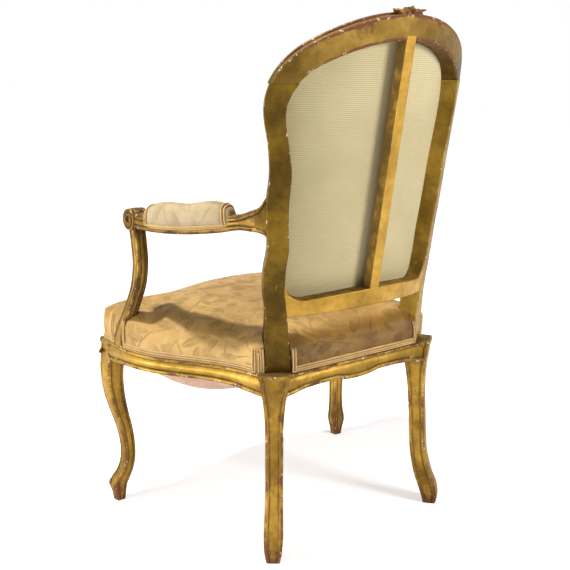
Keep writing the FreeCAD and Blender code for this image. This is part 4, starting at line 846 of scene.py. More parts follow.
for name, node, rows, flip in (("side_rail_moulded_left", "side_rail_left", side_rows(), False),
                               ("side_rail_moulded_right", "side_rail_right", side_rows(), True),
                               ("front_rail_moulded", "front_rail", front_rows(), False),
                               ("rear_rail_moulded", "rear_rail", rear_rows(), False)):
    sweep(name, rows, rail_outline, GILT_RAIL, (node,), 5, flip)


def post_ledge_rows():
    """Worn fillet round the top of the rear leg's block."""
    across, out = back_axes(REAR_LEG_TURN)
    rows = []
    for number in range(49):
        angle = TURN * number / 48 - 0.75 * math.pi
        reach = 27.5 / max(abs(math.cos(angle)), abs(math.sin(angle))) ** 0.5
        outward = math.cos(angle) * across + math.sin(angle) * out
        rows.append([*(np.array([POST_X, POST_Y, RAIL_TOP - 1]) + outward * reach), *outward, *UP, 5, 5])
    return rows


VOLUTE_SIZE, VOLUTE_OUT, VOLUTE_HEIGHT = 5.5, 13.5, 311


def volute(middle, outward, ahead, size):
    """Eye and roll of a carved scroll, the roll tapering and wound a little over once and a half about it."""
    outward, ahead = unit(outward), unit(ahead)
    second = np.cross(outward, ahead)
    rings = []
    for share in np.linspace(0, 1, 40):
        angle = 3.2 * math.pi * share
        reach = size * (1 - 0.78 * share)
        spoke = ahead * math.cos(angle) + second * math.sin(angle)
        rings.append(hoop(middle + spoke * reach, spoke, outward, blend(0.26, 0.14, share) * size, 8))
    scroll = np.concatenate(rings)
    return [carved_boss(middle, outward, 0.24 * size), (scroll, skin(rings), [0.9] * len(scroll))]


def bracket_volutes(flip):
    """Scrolls carved where the rails' brackets meet the legs, for one side of the chair."""
    scrolls = []
    for share, along in ((0.13, -1), (0.9, 1)):
        point, normal = side_plan(share)
        scrolls.append((point + normal * VOLUTE_OUT + UP * (VOLUTE_HEIGHT + 1), normal,
                        along * np.array([-normal[1], normal[0], 0])))
    scrolls.append(([POST_X - 40, RAIL_MIDDLE + VOLUTE_OUT, VOLUTE_HEIGHT], [0, 1, 0], [1, 0, 0]))
    point, normal = front_plan(0.84 * LEG_X)
    scrolls.append((point + normal * VOLUTE_OUT + UP * VOLUTE_HEIGHT, normal, [1, 0, 0]))
    return [part for scroll in scrolls
            for part in volute(*(np.array(vector) * [flip, 1, 1] for vector in scroll), VOLUTE_SIZE)]


for side, flip in (("left", 1), ("right", -1)):
    sweep(f"rear_ledge_{side}", post_ledge_rows(), moulded(2, 2, 0, 0, ""), GILT_RAIL, (), 3, flip < 0)
    carve(f"bracket_volutes_{side}", bracket_volutes(flip), GILT_RAIL)
    foot = np.array([flip * (LEG_X + 12), LEG_Y - 12, 36])
    carve(f"toe_scroll_{side}",
          volute(foot + [flip * 3, 5, 0], [flip, 0, 0], [0, -1, 0], VOLUTE_SIZE)
          + volute(foot + [flip * -5, -3, 0], [0, -1, 0], [flip, 0, 0], VOLUTE_SIZE), GILT_LEG)
    knee = np.array([flip * (LEG_X + 15.5), LEG_Y - 15.5, 0.93 * RAIL_TOP])
    carve(f"knee_spray_{side}", flower_spray(knee, [flip, -1, 0.1], [flip, 1, 0], 17)
          + [carved_leaf(knee - UP * 6, [0.1 * flip, -0.1, -1], [flip, -1, 0.2], 34, 11, 0.05)], GILT_LEG)
carve("front_rail_spray",
      flower_spray(front_plan(0)[0] + [0, -14.5, RAIL_TOP - 20], [0, -1, 0.1], [1, 0, 0], 25), GILT_RAIL)


# Arms and their supports

ARM_ROOT_HEIGHT = 609
ARM_ANGLE = back_angle(stile_at(ARM_ROOT_HEIGHT)[0])
ARM_ROOT, ARM_OUT = back_point(ARM_ANGLE, ARM_ROOT_HEIGHT, FRAME_THICKNESS / 2), back_axes(ARM_ANGLE)[0]
KNUCKLE = np.array([LEG_X, RAIL_BACK - 289, 586])
ARM_WIDTH, ARM_HEIGHT, ARM_FLARE, ARM_FLARE_SHARE = 31, 27, 15, 0.12


def arm_path(share):
    start = ARM_ROOT + ARM_OUT * (STILE_WIDTH / 2 + 8)
    run = np.linalg.norm(KNUCKLE - start)
    leaving = start + np.array([0.13, -0.26, -0.045]) * run
    arriving = KNUCKLE + np.array([-0.005, 0.32, -0.025]) * run
    rest = 1 - share
    return (start * rest**3 + leaving * (3 * rest**2 * share) + arriving * (3 * rest * share**2)
            + KNUCKLE * share**3)


def arm_height(share):
    return ARM_HEIGHT * (0.98 + 0.14 * math.sin(math.pi * share) ** 2)


def arm_axes(share):
    ahead = unit(arm_path(share + 0.01) - arm_path(share - 0.01))
    across = unit(np.cross(ahead, UP))
    return across, unit(np.cross(across, ahead))


def arm_rows():
    across, upward = arm_axes(0)
    rows = [[*(ARM_ROOT + ARM_OUT * reach), *across, *upward, width, height]
            for reach, width, height in ((6, 24, 86), (14, 25, 66), (19, 26, 52))]
    for share in (0, 0.06, 0.12, 0.3, 0.5, 0.7, 0.87, 1.0):
        flare = max(0, 1 - share / ARM_FLARE_SHARE)
        across, upward = arm_axes(share)
        rows.append([*arm_path(share), *across, *upward, ARM_WIDTH - 1.5 * flare,
                     arm_height(share) + ARM_FLARE * flare])
    return rows


SUPPORT_DEPTH, SUPPORT_BEND, SUPPORT_SWEEP = 338, 0.66, 65
SUPPORT_Y = RAIL_BACK - SUPPORT_DEPTH
SUPPORT_FOOT = side_plan((SUPPORT_Y - SIDE_REAR[1]) / (SIDE_FRONT[1] - SIDE_REAR[1]))[0] + UP * RAIL_TOP


def support_path(share):
    swept = SUPPORT_Y + SUPPORT_SWEEP
    if share <= SUPPORT_BEND:
        y = blend(SUPPORT_Y, swept, math.sin(math.pi / 2 * share / SUPPORT_BEND) ** 1.9)
    else:
        y = blend(swept, KNUCKLE[1], ((share - SUPPORT_BEND) / (1 - SUPPORT_BEND)) ** 1.6)
    return np.array([blend(SUPPORT_FOOT[0], KNUCKLE[0], share), y, blend(RAIL_TOP, KNUCKLE[2], share)])


def support_rows():
    swells = ((0.0, 1.0), (0.08, 0.85), (0.2, 0.35), (0.36, 0.02), (0.52, 0.0), (0.68, 0.0), (0.82, 0.05),
              (0.97, 0.1))
    return [[*support_path(share), 1, 0, 0, 0, -1, 0, blend(23, 28, swell), blend(23, 33, swell)]
            for share, swell in swells]


def knuckle_points(flip):
    """Turned scroll end: a roll with a ring and a sunk eye on each cheek, as points, faces, wear and grime."""
    profile = [(0, 15.2), (3.2, 15.0), (4.4, 14.2), (5.4, 13.6), (6.4, 15.6), (8.4, 18.4), (10.4, 18.8),
               (12.2, 17.6), (13.0, 15.2), (14.0, 15.0), (15.2, 16.8), (17.2, 17.4), (19.0, 16.2), (19.8, 13.4),
               (19.8, 11.4), (18.6, 10.6), (18.6, 8.4), (20.0, 7.4), (20.4, 4), (20.5, 0)]
    profile += [(radius, -x) for radius, x in profile[-2::-1]]
    rings, wear, grime_and_shade = [], [], []
    for radius, x in profile:
        rings.append(hoop(KNUCKLE + [x, 0, 0], [0, 1, 0], UP, max(radius, 0.05), 40))
        wear += [0.9 if radius > 19 else 0.5] * 40
        grime_and_shade += [1.0 if radius < 5.5 or radius in (13.0, 14.0, 18.6) else 0.0] * 40
    return mirrored(np.concatenate(rings), flip), skin(rings), wear, grime_and_shade


for side, flip in SIDES:
    sweep(f"arm_moulded_{side}", arm_rows(), moulded(5, 8.5, 1.5, 0.8), GILT_ARM, (f"arm_{side}",), 3, flip)
    sweep(f"arm_support_moulded_{side}", support_rows(), moulded(4, 7, 1.5, 0.9), GILT_ARM,
          (f"arm_support_{side}",), 3, flip)
    points, faces, wear, grime_and_shade = knuckle_points(flip)
    make_piece(f"arm_knuckle_{side}", points, faces, GILT_ARM, "gilded_wood", (), None,
               {"wear": wear, "grime_and_shade": grime_and_shade}, 60)


# Upholstery

SEAT_STEPS = 360


def seat_edge(out):
    """Smooth plan of the seat along the rails at a distance out from their middle lines, with its normals."""
    half = [(0, RAIL_MIDDLE + out), (0.6 * POST_X, RAIL_MIDDLE + out), (POST_X - 8, RAIL_BACK - 17 + out),
            (POST_X + 18 + 0.7 * out, RAIL_BACK - 30 + 0.7 * out)]
    for share in np.linspace(0.1, 0.93, 24):
        point, normal = side_plan(share)
        half.append((point + normal * out)[:2])
    half.append((LEG_X + 9 + 0.72 * out, LEG_Y - 4 - 0.72 * out))
    for share in np.linspace(0.93, 0, 18):
        point, normal = front_plan(share * LEG_X)
        half.append((point + normal * out)[:2])
    half = np.array(half)
    ring = np.concatenate([half, (half * [-1, 1])[-2:0:-1]])
    loop = np.concatenate([ring, ring[:1]])
    at = lengths(loop)
    t = np.linspace(0, at[-1], SEAT_STEPS, endpoint=False)
    ring = np.stack([np.interp(t, at, loop[:, 0]), np.interp(t, at, loop[:, 1])], 1)
    for _ in range(3):
        ring = (np.roll(ring, 1, 0) + 2 * ring + np.roll(ring, -1, 0)) / 4
    along = np.roll(ring, -1, 0) - np.roll(ring, 1, 0)
    normal = np.stack([-along[:, 1], along[:, 0]], 1)
    normal /= np.linalg.norm(normal, axis=1)[:, None]
    if np.sum(normal * (ring - ring.mean(0))) < 0:
        normal = -normal
    return ring, normal


SEAT_MIDDLE = np.array([0, (RAIL_BACK + LEG_Y) / 2])
# Height of the seat's side, rise of its dome, rise towards the front, draw of its upper edge and pull of the
# stitches; distance of its cloth from the rails' middle lines and height of its foot above them
SEAT_EDGE, SEAT_RISE, SEAT_LEAN, SEAT_DRAW, SEAT_PULL = 42, 32, 20, 11, 0.45
SEAT_OUT, SEAT_FOOT = 8.6, 0.4
WOOD_REACH, WOOD_FADE = 32, 60


def clear_of_wood(flat):
    """0 beside the stiles, the arm supports and the front corners, rising to 1 away from them."""
    wood = np.array([(POST_X, POST_Y), support_path(0)[:2], (LEG_X, LEG_Y)])
    half = np.stack([np.abs(flat[:, 0]), flat[:, 1]], 1)
    apart = np.linalg.norm(half[:, None] - wood[None], axis=2).min(1)
    share = np.clip((apart - WOOD_REACH) / WOOD_FADE, 0, 1)
    return share * share * (3 - 2 * share)


def seat_swell(share, proud=0.0):
    """Ring of the seat's side at a share of its height, with its normals: full below and drawn in above."""
    ring, normal = seat_edge(SEAT_OUT + 2.2 * math.sin(math.pi * share) - 1.2 * share**4 + proud)
    return ring - normal * (SEAT_DRAW * share**2.4 * clear_of_wood(ring))[:, None], normal


def seat_point(ring, scale, rise, lean):
    flat = SEAT_MIDDLE + (ring - SEAT_MIDDLE) * scale
    z = RAIL_TOP + rise + lean * (RAIL_BACK - flat[:, 1]) / SEAT_DEPTH
    return np.concatenate([flat, z[:, None]], 1)


def seat_cushion():
    """Stuffed seat: drawn-in sides, a rolled edge and a domed top, its cloth laid flat over the roll."""
    rings, uv = [], []
    steps = np.arange(SEAT_STEPS) / SEAT_STEPS * TURN
    pulls = np.sin(17 * steps + 1) + np.sin(41 * steps + 2 * np.sin(5 * steps)) + 0.6 * np.sin(73 * steps + 4)
    for share in np.linspace(0, 1, 12):
        ring, normal = seat_swell(share)
        ring = ring + normal * (SEAT_PULL * math.sin(math.pi * share) * pulls)[:, None]
        rings.append(seat_point(ring, 1, blend(SEAT_FOOT, SEAT_EDGE, share), SEAT_LEAN * share))
        uv.append(ring + normal * (SEAT_EDGE + SEAT_LEAN / 2) * (1 - share))
    edge = seat_swell(1)[0]
    for scale in 1 - np.linspace(0.006, 1, 46) ** 1.6 * 0.985:
        rings.append(seat_point(edge, scale, SEAT_EDGE + SEAT_RISE * (1 - scale**5) ** 0.8, SEAT_LEAN))
        uv.append(SEAT_MIDDLE + (edge - SEAT_MIDDLE) * scale)
    return np.concatenate(rings), skin(rings), np.concatenate(uv)


CLOTH_PRESSURE, CLOTH_MASS, CLOTH_STIFFNESS, CLOTH_BENDING, CLOTH_STEPS = 4, 0.3, 12, 0.4, 20
CLOTH_VOXEL, CLOTH_MOST, CLOTH_NEIGHBOURS = 6, 6, 6


def finder(points):
    """Search for the nearest of some points."""
    tree = KDTree(len(points))
    for number, point in enumerate(points):
        tree.insert(point, number)
    tree.balance()
    return tree


def places(mesh):
    """Points of a mesh in millimetres."""
    numbers = np.zeros(len(mesh.vertices) * 3)
    mesh.vertices.foreach_get("co", numbers)
    return numbers.reshape(-1, 3) / MM


def plump(points, faces, hold):
    """Points of a stuffed form after its cloth has been blown up as a simulated sheet and held at its edges.

    hold says how free each point is, from 0 to 1.
    """
    scene = bpy.context.scene
    proxy = tool_piece("cloth_proxy", points, faces, SEAT_DAMASK)
    remesh = proxy.modifiers.new("even", "REMESH")
    remesh.mode, remesh.voxel_size = "VOXEL", CLOTH_VOXEL * MM
    even = shaped_mesh(proxy)
    proxy.modifiers.clear()
    proxy.data = even
    before = places(even)
    near = finder(points)
    pinned = proxy.vertex_groups.new(name="pinned")
    for number, point in enumerate(before):
        pinned.add([number], 1 - hold[near.find(point)[1]], "REPLACE")
    cloth = proxy.modifiers.new("cloth", "CLOTH")
    settings = cloth.settings
    settings.quality = 6
    settings.mass = CLOTH_MASS
    settings.tension_stiffness = settings.compression_stiffness = CLOTH_STIFFNESS
    settings.bending_stiffness = CLOTH_BENDING
    settings.use_pressure = True
    settings.uniform_pressure_force = CLOTH_PRESSURE
    settings.vertex_group_mass = "pinned"
    settings.effector_weights.gravity = 0
    cloth.point_cache.frame_start, cloth.point_cache.frame_end = 1, CLOTH_STEPS
    for moment in range(1, CLOTH_STEPS + 1):
        scene.frame_set(moment)
    move = places(proxy.evaluated_get(bpy.context.evaluated_depsgraph_get()).to_mesh()) - before
    bpy.data.objects.remove(proxy)
    scene.frame_set(1)
    move *= np.minimum(1, CLOTH_MOST / np.maximum(np.linalg.norm(move, axis=1)[:, None], 1e-6))
    tree = finder(before)
    shifted = []
    for point, free in zip(points, hold):
        found = tree.find_n(point, CLOTH_NEIGHBOURS)
        weights = np.array([1 / (1 + distance) for _, _, distance in found])
        shift = weights @ np.array([move[number] for _, number, _ in found]) / weights.sum()
        shifted.append(point + shift * free)
    return np.array(shifted)


NOTCH_EASE, NOTCH_REACH, NOTCH_STEP, NOTCH_TOP, STILE_PROUD = 1.2, 70, 6, 500, 1


def notch_rows():
    """The wood that stands in the seat's edge, as runs of sections: the stiles' feet and the arm supports."""
    stile, support = ([row for row in glide(rows, NOTCH_STEP)[0] if row[2] < NOTCH_TOP]
                      for rows in (stile_rows(), support_rows()))
    below = 2 * np.array(support_path(0)) - support_path(0.03)
    support.insert(0, np.array([*below, *support[0][3:]]))
    return {"stile": stile, "support": support}


def notch_outline(kind, row, ease):
    """Plan of a notch about a section: open behind the stile, and open outwards at the arm support."""
    x, y = row[9] / 2 + ease, row[10] / 2 + ease
    if kind == "support":
        return np.array([(NOTCH_REACH, y), (-x, y), (-x, -y), (NOTCH_REACH, -y)])
    shy = row[10] / 2 - STILE_PROUD
    return np.array([(NOTCH_REACH, NOTCH_REACH), (-x, NOTCH_REACH), (-x, -y), (x, -y), (x, shy),
                     (NOTCH_REACH, shy)])


def cut_notches(piece):
    """Cuts the seat's edge round the stiles and the arm supports."""
    tools = []
    for kind, rows in notch_rows().items():
        rings = [row[:3] + notch_outline(kind, row, NOTCH_EASE) @ np.array([unit(row[3:6]), unit(row[6:9])])
                 for row in rows]
        for _, flip in SIDES:
            tools.append(tool_piece("notch", mirrored(np.concatenate(rings), flip), skin(rings), SEAT_DAMASK))
            modifier = piece.modifiers.new("notch", "BOOLEAN")
            modifier.operation, modifier.solver, modifier.object = "DIFFERENCE", "EXACT", tools[-1]
    mesh = shaped_mesh(piece)
    piece.modifiers.clear()
    piece.data = mesh
    mesh.set_sharp_from_angle(angle=math.radians(50))
    for tool in tools:
        bpy.data.objects.remove(tool)


points, faces, uv = seat_cushion()
free = clear_of_wood(points) * np.clip((points[:, 2] - RAIL_TOP - 16) / 30, 0, 1)
points = plump(points, faces, free)
seat = make_piece("seat_cushion", points, faces, SEAT_DAMASK, "seat_damask", (), uv, None, 0, False)
cut_notches(seat)
settle(seat, "seat_damask", "seat_cover", "seat_stuffing")


PAD_FOOT, PAD_RUN = 6, 176
PAD_LENGTH = PAD_RUN / np.linalg.norm(KNUCKLE - arm_path(0))
PAD_START = 0.5 - 0.47 * PAD_LENGTH


def pad_ring(share, width, height, count=28):
    """Domed section of an arm pad over the arm, and its girth."""
    across, upward = arm_axes(share)
    base = arm_path(share) + upward * (PAD_FOOT - arm_height(share) / 2)
    ring = []
    for number in range(count):
        angle = TURN * number / count - math.pi / 2
        x = math.copysign(abs(math.cos(angle)) ** 0.8, math.cos(angle))
        y = math.copysign(abs(math.sin(angle)) ** 0.75, math.sin(angle))
        lift = 0.42 + (0.58 if y > 0 else 0.42) * y
        ring.append(base + across * (x * width / 2) + upward * (height * lift))
    return np.array(ring), np.arange(count) / count * 2.6 * (width + height) / 2


def pad_section(part):
    """Place on the arm, width and height of the pad at a part of its length, with a worn dip in the middle."""
    swell = (1 - abs(2 * part - 1) ** 3.2) ** 0.5
    dip = 1 - 0.1 * math.exp(-((part - 0.5) / 0.2) ** 2)
    return PAD_START + PAD_LENGTH * part, blend(28, 45, swell), blend(25, 51, swell) * dip


def arm_pad(flip):
    rings, uv = [], []
    for part in 0.5 - 0.5 * np.cos(np.linspace(0, math.pi, 40)):
        ring, girth = pad_ring(*pad_section(part))
        rings.append(ring)
        uv.append(np.stack([np.full(len(girth), part * PAD_RUN), girth], 1))
    return mirrored(np.concatenate(rings), flip), skin(rings), np.concatenate(uv)


for side, flip in SIDES:
    points, faces, uv = arm_pad(flip)
    pad = make_piece(f"arm_pad_{side}", points, faces, PAD_DAMASK, "pad_damask",
                     (f"arm_cover_{side}", f"arm_stuffing_{side}"), uv, None, 0)


BACK_COLUMNS, BACK_LEVELS = 60, 70


def back_grid(depth, grow, crown=0):
    """Bowed sheet over the back's opening, with its middle standing before its edge by crown."""
    arch = opening_arch(grow)
    points, uv = [], []
    for level in range(BACK_LEVELS + 1):
        share = 1 - (1 - level / BACK_LEVELS) ** 1.5
        z = blend(LOWER_RAIL_END - grow, arch.apex - 0.3, share)
        half = arch.half_width(z) if z >= OPENING_SPRING else opening_half_width(z) + grow
        reach = back_angle(half)
        swell = math.sin(math.pi * blend(0.03, 0.97, share)) ** 0.6
        for column in range(BACK_COLUMNS + 1):
            across = 2 * column / BACK_COLUMNS - 1
            angle = across * reach
            points.append(back_point(angle, z, depth + crown * swell * (1 - abs(across) ** 2.4)))
            uv.append((angle * BACK_RADIUS, z))
    return np.array(points), np.array(uv)


def back_sheet(rear, front, grow, crown=0):
    """Points, faces and UV of a layer in the back's opening between two depths."""
    (near, uv), (far, _) = back_grid(rear, grow), back_grid(front, grow, crown)
    return *closed_sheet(near, far, BACK_COLUMNS, BACK_LEVELS), np.concatenate([uv, uv])


points, faces, uv = back_sheet(28.6, 29.6, 7.4)
lining = make_piece("outside_back_lining", points, faces, LINING, "ribbed_lining", ("outside_back_cover",), uv)

points, faces, uv = back_sheet(39, 42, 4, 30)
inside = make_piece("inside_back_pad", points, faces, SEAT_DAMASK, "seat_damask",
                    ("inside_back_cover", "back_stuffing"), uv, None, 0)

BOTTOM_HEIGHT, BOTTOM_SAG, BOTTOM_THICKNESS = 311, 46, 0.9


def bottom_sheet():
    """Cloth under the seat, nailed inside the rails and sagging between them."""
    edge = seat_edge(-15.6)[0]
    rings = []
    for scale in np.linspace(1, 0.01, 30):
        flat = SEAT_MIDDLE + (edge - SEAT_MIDDLE) * scale
        sag = BOTTOM_SAG * (1 - scale**16) * np.exp(-((flat[:, 1] + 35) / 120) ** 2)
        ripple = 1.2 * np.sin(flat[:, 0] / 11 + flat[:, 1] / 37) * scale**3 * (1 - scale)
        rings.append(np.concatenate([flat, (BOTTOM_HEIGHT - sag + 6 * ripple)[:, None]], 1))
    lower = np.concatenate(rings)
    count, size = len(lower), len(edge)
    last = count - size
    faces = skin(rings, False)
    faces += [tuple(count + v for v in face[::-1]) for face in faces]
    faces += [((j + 1) % size, j, count + j, count + (j + 1) % size) for j in range(size)]
    faces += [tuple(last + j for j in range(size)), tuple(count + last + j for j in range(size))[::-1]]
    return np.concatenate([lower, lower + UP * BOTTOM_THICKNESS]), faces


points, faces = bottom_sheet()
bottom = make_piece("bottom_cloth_sagging", points, faces, BOTTOM, "bottom_cloth", ("bottom_cloth",))


# Braid: rows of twisted cords laid side by side

STITCH_LENGTH, STITCH_RADIUS, STITCH_SPACING, STITCH_LEAN = 5.6, 1.5, 0.0031, 0.6


def stitch_mesh():
    """One turn of a twisted cord: a fat lozenge with pointed ends."""
    rings = []
    for share in np.linspace(0, 1, 5):
        radius = max(STITCH_RADIUS * math.sin(math.pi * share) ** 0.7, 0.2)
        rings.append(hoop(np.array([(share - 0.5) * STITCH_LENGTH, 0, 0]), [0, 1, 0], UP, radius, 8))
    return tool_piece("braid_stitch", np.concatenate(rings), skin(rings), BRAID)


def braid_tree(stitch):
    """Lays stitches along every spline at a spacing, each leaning across the cord."""
    tree = bpy.data.node_groups.new("braid_of_stitches", "GeometryNodeTree")
    sockets = {}
    for title, way, kind in (("Geometry", "INPUT", "Geometry"), ("Stitch spacing", "INPUT", "Float"),
                             ("Stitch lean", "INPUT", "Float"), ("Thread", "INPUT", "Material"),
                             ("Geometry", "OUTPUT", "Geometry")):
        made = tree.interface.new_socket(title, in_out=way, socket_type=f"NodeSocket{kind}")
        sockets[title] = made.identifier
    given, result, points, aim, tilt, turn, source, lay, real, cover = (tree.nodes.new(kind) for kind in (
        "NodeGroupInput", "NodeGroupOutput", "GeometryNodeCurveToPoints", "FunctionNodeAlignRotationToVector",
        "FunctionNodeRotateRotation", "FunctionNodeAxisAngleToRotation", "GeometryNodeObjectInfo",
        "GeometryNodeInstanceOnPoints", "GeometryNodeRealizeInstances", "GeometryNodeSetMaterial"))
    points.mode, aim.axis, tilt.rotation_space = "LENGTH", "X", "LOCAL"
    turn.inputs["Axis"].default_value = (0, 1, 0)
    source.inputs["Object"].default_value = stitch
    for first, title, second, socket in (
            (given, "Geometry", points, "Curve"), (given, "Stitch spacing", points, "Length"),
            (points, "Tangent", aim, "Vector"), (given, "Stitch lean", turn, "Angle"),
            (aim, "Rotation", tilt, "Rotation"), (turn, "Rotation", tilt, "Rotate By"),
            (points, "Points", lay, "Points"), (source, "Geometry", lay, "Instance"),
            (tilt, "Rotation", lay, "Rotation"), (lay, "Instances", real, "Geometry"),
            (real, "Geometry", cover, "Geometry"), (given, "Thread", cover, "Material"),
            (cover, "Geometry", result, "Geometry")):
        tree.links.new(first.outputs[title], second.inputs[socket])
    return tree, sockets


STITCH = stitch_mesh()
BRAID_TREE, BRAID_SOCKETS = braid_tree(STITCH)


def braid(name, paths, nodes=()):
    """Braid along paths of points in millimetres."""
    curve = bpy.data.curves.new(name, "CURVE")
    curve.dimensions = "3D"
    for path in paths:
        spline = curve.splines.new("POLY")
        spline.points.add(len(path) - 1)
        spline.points.foreach_set("co", np.insert(np.asarray(path) * MM, 3, 1, axis=1).ravel())
    laid = put(name + "_path", curve)
    modifier = laid.modifiers.new("braid", "NODES")
    modifier.node_group = BRAID_TREE
    for title, value in (("Stitch spacing", STITCH_SPACING), ("Stitch lean", STITCH_LEAN), ("Thread", BRAID)):
        modifier[BRAID_SOCKETS[title]] = value
    mesh = shaped_mesh(laid)
    bpy.data.objects.remove(laid)
    mesh.shade_smooth()
    settle(put(name, mesh), "gimp", *nodes)


def in_notch(point, ease):
    """Whether a point of the left half lies in a notch, grown by ease."""
    for kind, rows in notch_rows().items():
        row = rows[int(np.argmin([abs(row[2] - point[2]) for row in rows]))]
        across, deep = (point - row[:3]) @ unit(row[3:6]), (point - row[:3]) @ unit(row[6:9])
        outline = notch_outline(kind, row, ease)
        inside = outline[1][0] < across < NOTCH_REACH and outline[2][1] < deep < outline[0][1]
        if kind == "stile" and across > row[9] / 2 + ease and deep < row[10] / 2 - STILE_PROUD - ease:
            inside = False
        if inside:
            return True
    return False


def seat_side(share, proud):
    """Ring of the seat's side at a share of its height, proud of the cloth."""
    ring = seat_swell(share, proud)[0]
    return seat_point(ring, 1, SEAT_EDGE * share, SEAT_LEAN * share)


def clear_runs(ring, ease):
    """Runs of a ring's numbers that are clear of the notches on both sides of the chair."""
    clear = [not in_notch(mirrored(point, point[0] < 0), ease) for point in ring]
    first = clear.index(False)
    runs, run = [], []
    for step in range(len(ring)):
        number = (first + step) % len(ring)
        if clear[number]:
            run.append(number)
        elif run:
            runs.append(run)
            run = []
    return runs + ([run] if run else [])


# How far each cord stands proud of the cloth and its rise above the rail
BRAID_ROWS = ((1.0, 2.0), (1.6, 6.0), (1.0, 10.0))
BRAID_OUT, BRAID_LAP, BRAID_TOP = 9.2, 5.5, 390


def seat_braid_paths():
    """Cords along the seat's lower edge, turned up beside the stiles and the arm supports."""
    foot = seat_side(0.1, 0)
    runs = clear_runs(foot, 0.5)
    paths = []
    for proud, rise in BRAID_ROWS:
        ring = seat_edge(BRAID_OUT + proud)[0]
        lap = int(round((rise - BRAID_ROWS[0][1]) / BRAID_LAP))
        for run in runs:
            inner = run[lap:len(run) - lap]
            low = [np.array([*ring[number], RAIL_TOP + rise]) for number in inner]
            climbs = [[seat_side(share, proud)[number] for share in np.linspace(0.25, 0.98, 12)]
                      for number in (inner[0], inner[-1])]
            paths.append(climbs[0][::-1] + low + climbs[1])
    for across in (3.5, 7.5, 11.5):
        climb = []
        for row in notch_rows()["stile"]:
            if RAIL_TOP < row[2] < BRAID_TOP - across:
                climb.append(row[:3] + unit(row[3:6]) * (row[9] / 2 + across)
                             + unit(row[6:9]) * (row[10] / 2 - STILE_PROUD + 1))
        paths += [mirrored(climb, flip) for _, flip in SIDES]
    return paths


braid("seat_braid", seat_braid_paths(), ("seat_gimp",))


def back_braid_paths():
    """Cords round the front of the back's opening."""
    paths = []
    for grow, depth in ((4, 37.6), (8, 38.2), (11, 37.6)):
        arch, low = opening_arch(grow), LOWER_RAIL_END - grow
        left = [(opening_half_width(z) + grow, z) for z in np.linspace(low, OPENING_SPRING, 30)]
        over = [arch.point(share, OPENING_SPRING) for share in np.linspace(0.02, 1, 40)]
        half = left + over
        ring = half + [(-x, z) for x, z in half[-2::-1]]
        ring += [(x, low) for x in np.linspace(-left[0][0], left[0][0], 24)[1:]]
        paths.append([back_point(back_angle(x), z, depth) for x, z in ring])
    return paths


braid("back_braid", back_braid_paths(), ("back_gimp",))


def pad_braid_paths(flip):
    """Cords round the foot of an arm pad and over its two ends."""
    paths = []
    for number in (8, 12, 60, 64):
        path = []
        for part in np.linspace(0.03, 0.97, 30):
            share, width, height = pad_section(part)
            ring = pad_ring(share, width + 2.4, height, 72)[0]
            path.append(ring[number])
        paths.append(path)
    for part in (0.035, 0.06, 0.94, 0.965):
        share, width, height = pad_section(part)
        ring = pad_ring(share, width + 2.4, height + 1.2, 44)[0]
        paths.append(ring[9:36])
    return [mirrored(path, flip) for path in paths]


for side, flip in SIDES:
    braid(f"arm_pad_braid_{side}", pad_braid_paths(flip))


# Hidden layers and fixings keep their solids with fitting finishes
FINISHES = {"seat_webbing": WEBBING, "back_webbing": WEBBING, "seat_canvas": CANVAS, "back_canvas": CANVAS,
            "arm_screws": plain_iron(), "arm_dowels": bare_beech()}
for node, finish in FINISHES.items():
    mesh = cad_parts[node].data
    mesh.materials.clear()
    mesh.materials.append(finish)

bpy.data.objects.remove(STITCH)


# Stage, light and camera

FLOOR_HALF, FLOOR_TONE = 9, (0.86, 0.86, 0.86)
NEAR_GLOW, FAR_GLOW, GLOW_START, GLOW_END = 0.5, 0.86, 0.6, 2.2
SKY_LIGHT = 0.17
SENSOR, PHOTO_WIDTH, FOCAL_PIXELS = 36, 570, 1006.886
CAMERA_PLACE, CAMERA_TURN, CAMERA_TIP = (1.1839, 1.4711, 0.8884), math.radians(37.949), math.radians(13.287)


def seen_directly(tree):
    """1 where the camera, a mirror or a glass sees a surface, and 0 where it only gives light."""
    paths = tree.nodes.new("ShaderNodeLightPath")
    seen = paths.outputs["Is Camera Ray"]
    for title in ("Is Glossy Ray", "Is Transmission Ray"):
        either = tree.nodes.new("ShaderNodeMath")
        either.operation = "MAXIMUM"
        tree.links.new(seen, either.inputs[0])
        tree.links.new(paths.outputs[title], either.inputs[1])
        seen = either.outputs[0]
    return seen


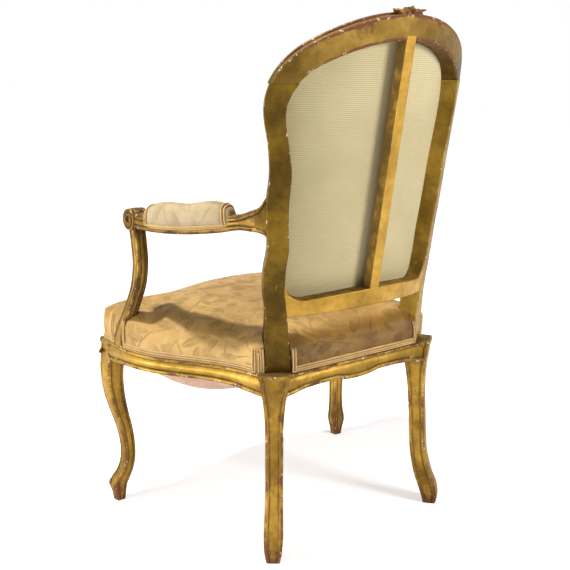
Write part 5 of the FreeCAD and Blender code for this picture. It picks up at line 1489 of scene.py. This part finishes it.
def stage():
    """White floor that keeps the shadows, under a white sky that gives less light than it shows."""
    paint = Paint("pale_floor")
    floor_mesh = bpy.data.meshes.new("floor")
    corners = [(FLOOR_HALF * x, FLOOR_HALF * y, 0) for x, y in ((-1, -1), (1, -1), (1, 1), (-1, 1))]
    floor_mesh.from_pydata(corners, [], [(0, 1, 2, 3)])
    floor_mesh.materials.append(paint.finish(FLOOR_TONE, 0.9))
    paint.shader.inputs["Emission Color"].default_value = (1, 1, 1, 1)
    apart = paint.node("ShaderNodeVectorMath", {0: paint.place}, operation="LENGTH")
    far = paint.between(apart.outputs["Value"], GLOW_START, GLOW_END)
    spread = paint.math("MULTIPLY_ADD", far, FAR_GLOW - NEAR_GLOW, NEAR_GLOW)
    glow = paint.times(seen_directly(paint.tree), spread)
    paint.link(glow, paint.shader.inputs["Emission Strength"])
    floor = put("floor", floor_mesh)
    world = bpy.data.worlds.new("studio")
    bpy.context.scene.world = world
    world.use_nodes = True
    tree = world.node_tree
    sky = tree.nodes["Background"]
    sky.inputs["Color"].default_value = (1, 1, 1, 1)
    level = tree.nodes.new("ShaderNodeMapRange")
    level.inputs["To Min"].default_value = SKY_LIGHT
    level.inputs["To Max"].default_value = 1
    tree.links.new(seen_directly(tree), level.inputs["Value"])
    tree.links.new(level.outputs["Result"], sky.inputs["Strength"])


def aim_at(holder, ahead):
    holder.rotation_mode = "QUATERNION"
    holder.rotation_quaternion = Vector(ahead).to_track_quat("-Z", "Y")


def lamp(name, place, aim, size, power):
    light = bpy.data.lights.new(name, "AREA")
    light.size = size
    light.energy = power
    holder = put(name, light)
    holder.location = place
    aim_at(holder, Vector(aim) - Vector(place))


stage()
lamp("overhead", (0.88, -0.36, 2.75), (0.1, 0, 0.5), 0.12, 80)
lamp("side", (-0.75, 2.0, 1.25), (0, 0, 0.55), 0.6, 42)
lamp("fill", (2.6, -0.35, 0.36), (0, 0, 0.42), 0.9, 54)

camera = bpy.data.cameras.new("camera")
camera.sensor_width = SENSOR
camera.lens = SENSOR * FOCAL_PIXELS / PHOTO_WIDTH
view = put("camera", camera)
view.location = CAMERA_PLACE
level = math.cos(CAMERA_TIP)
aim_at(view, (-math.sin(CAMERA_TURN) * level, -math.cos(CAMERA_TURN) * level, -math.sin(CAMERA_TIP)))
bpy.context.scene.camera = view
bpy.context.scene.view_settings.view_transform = "Standard"
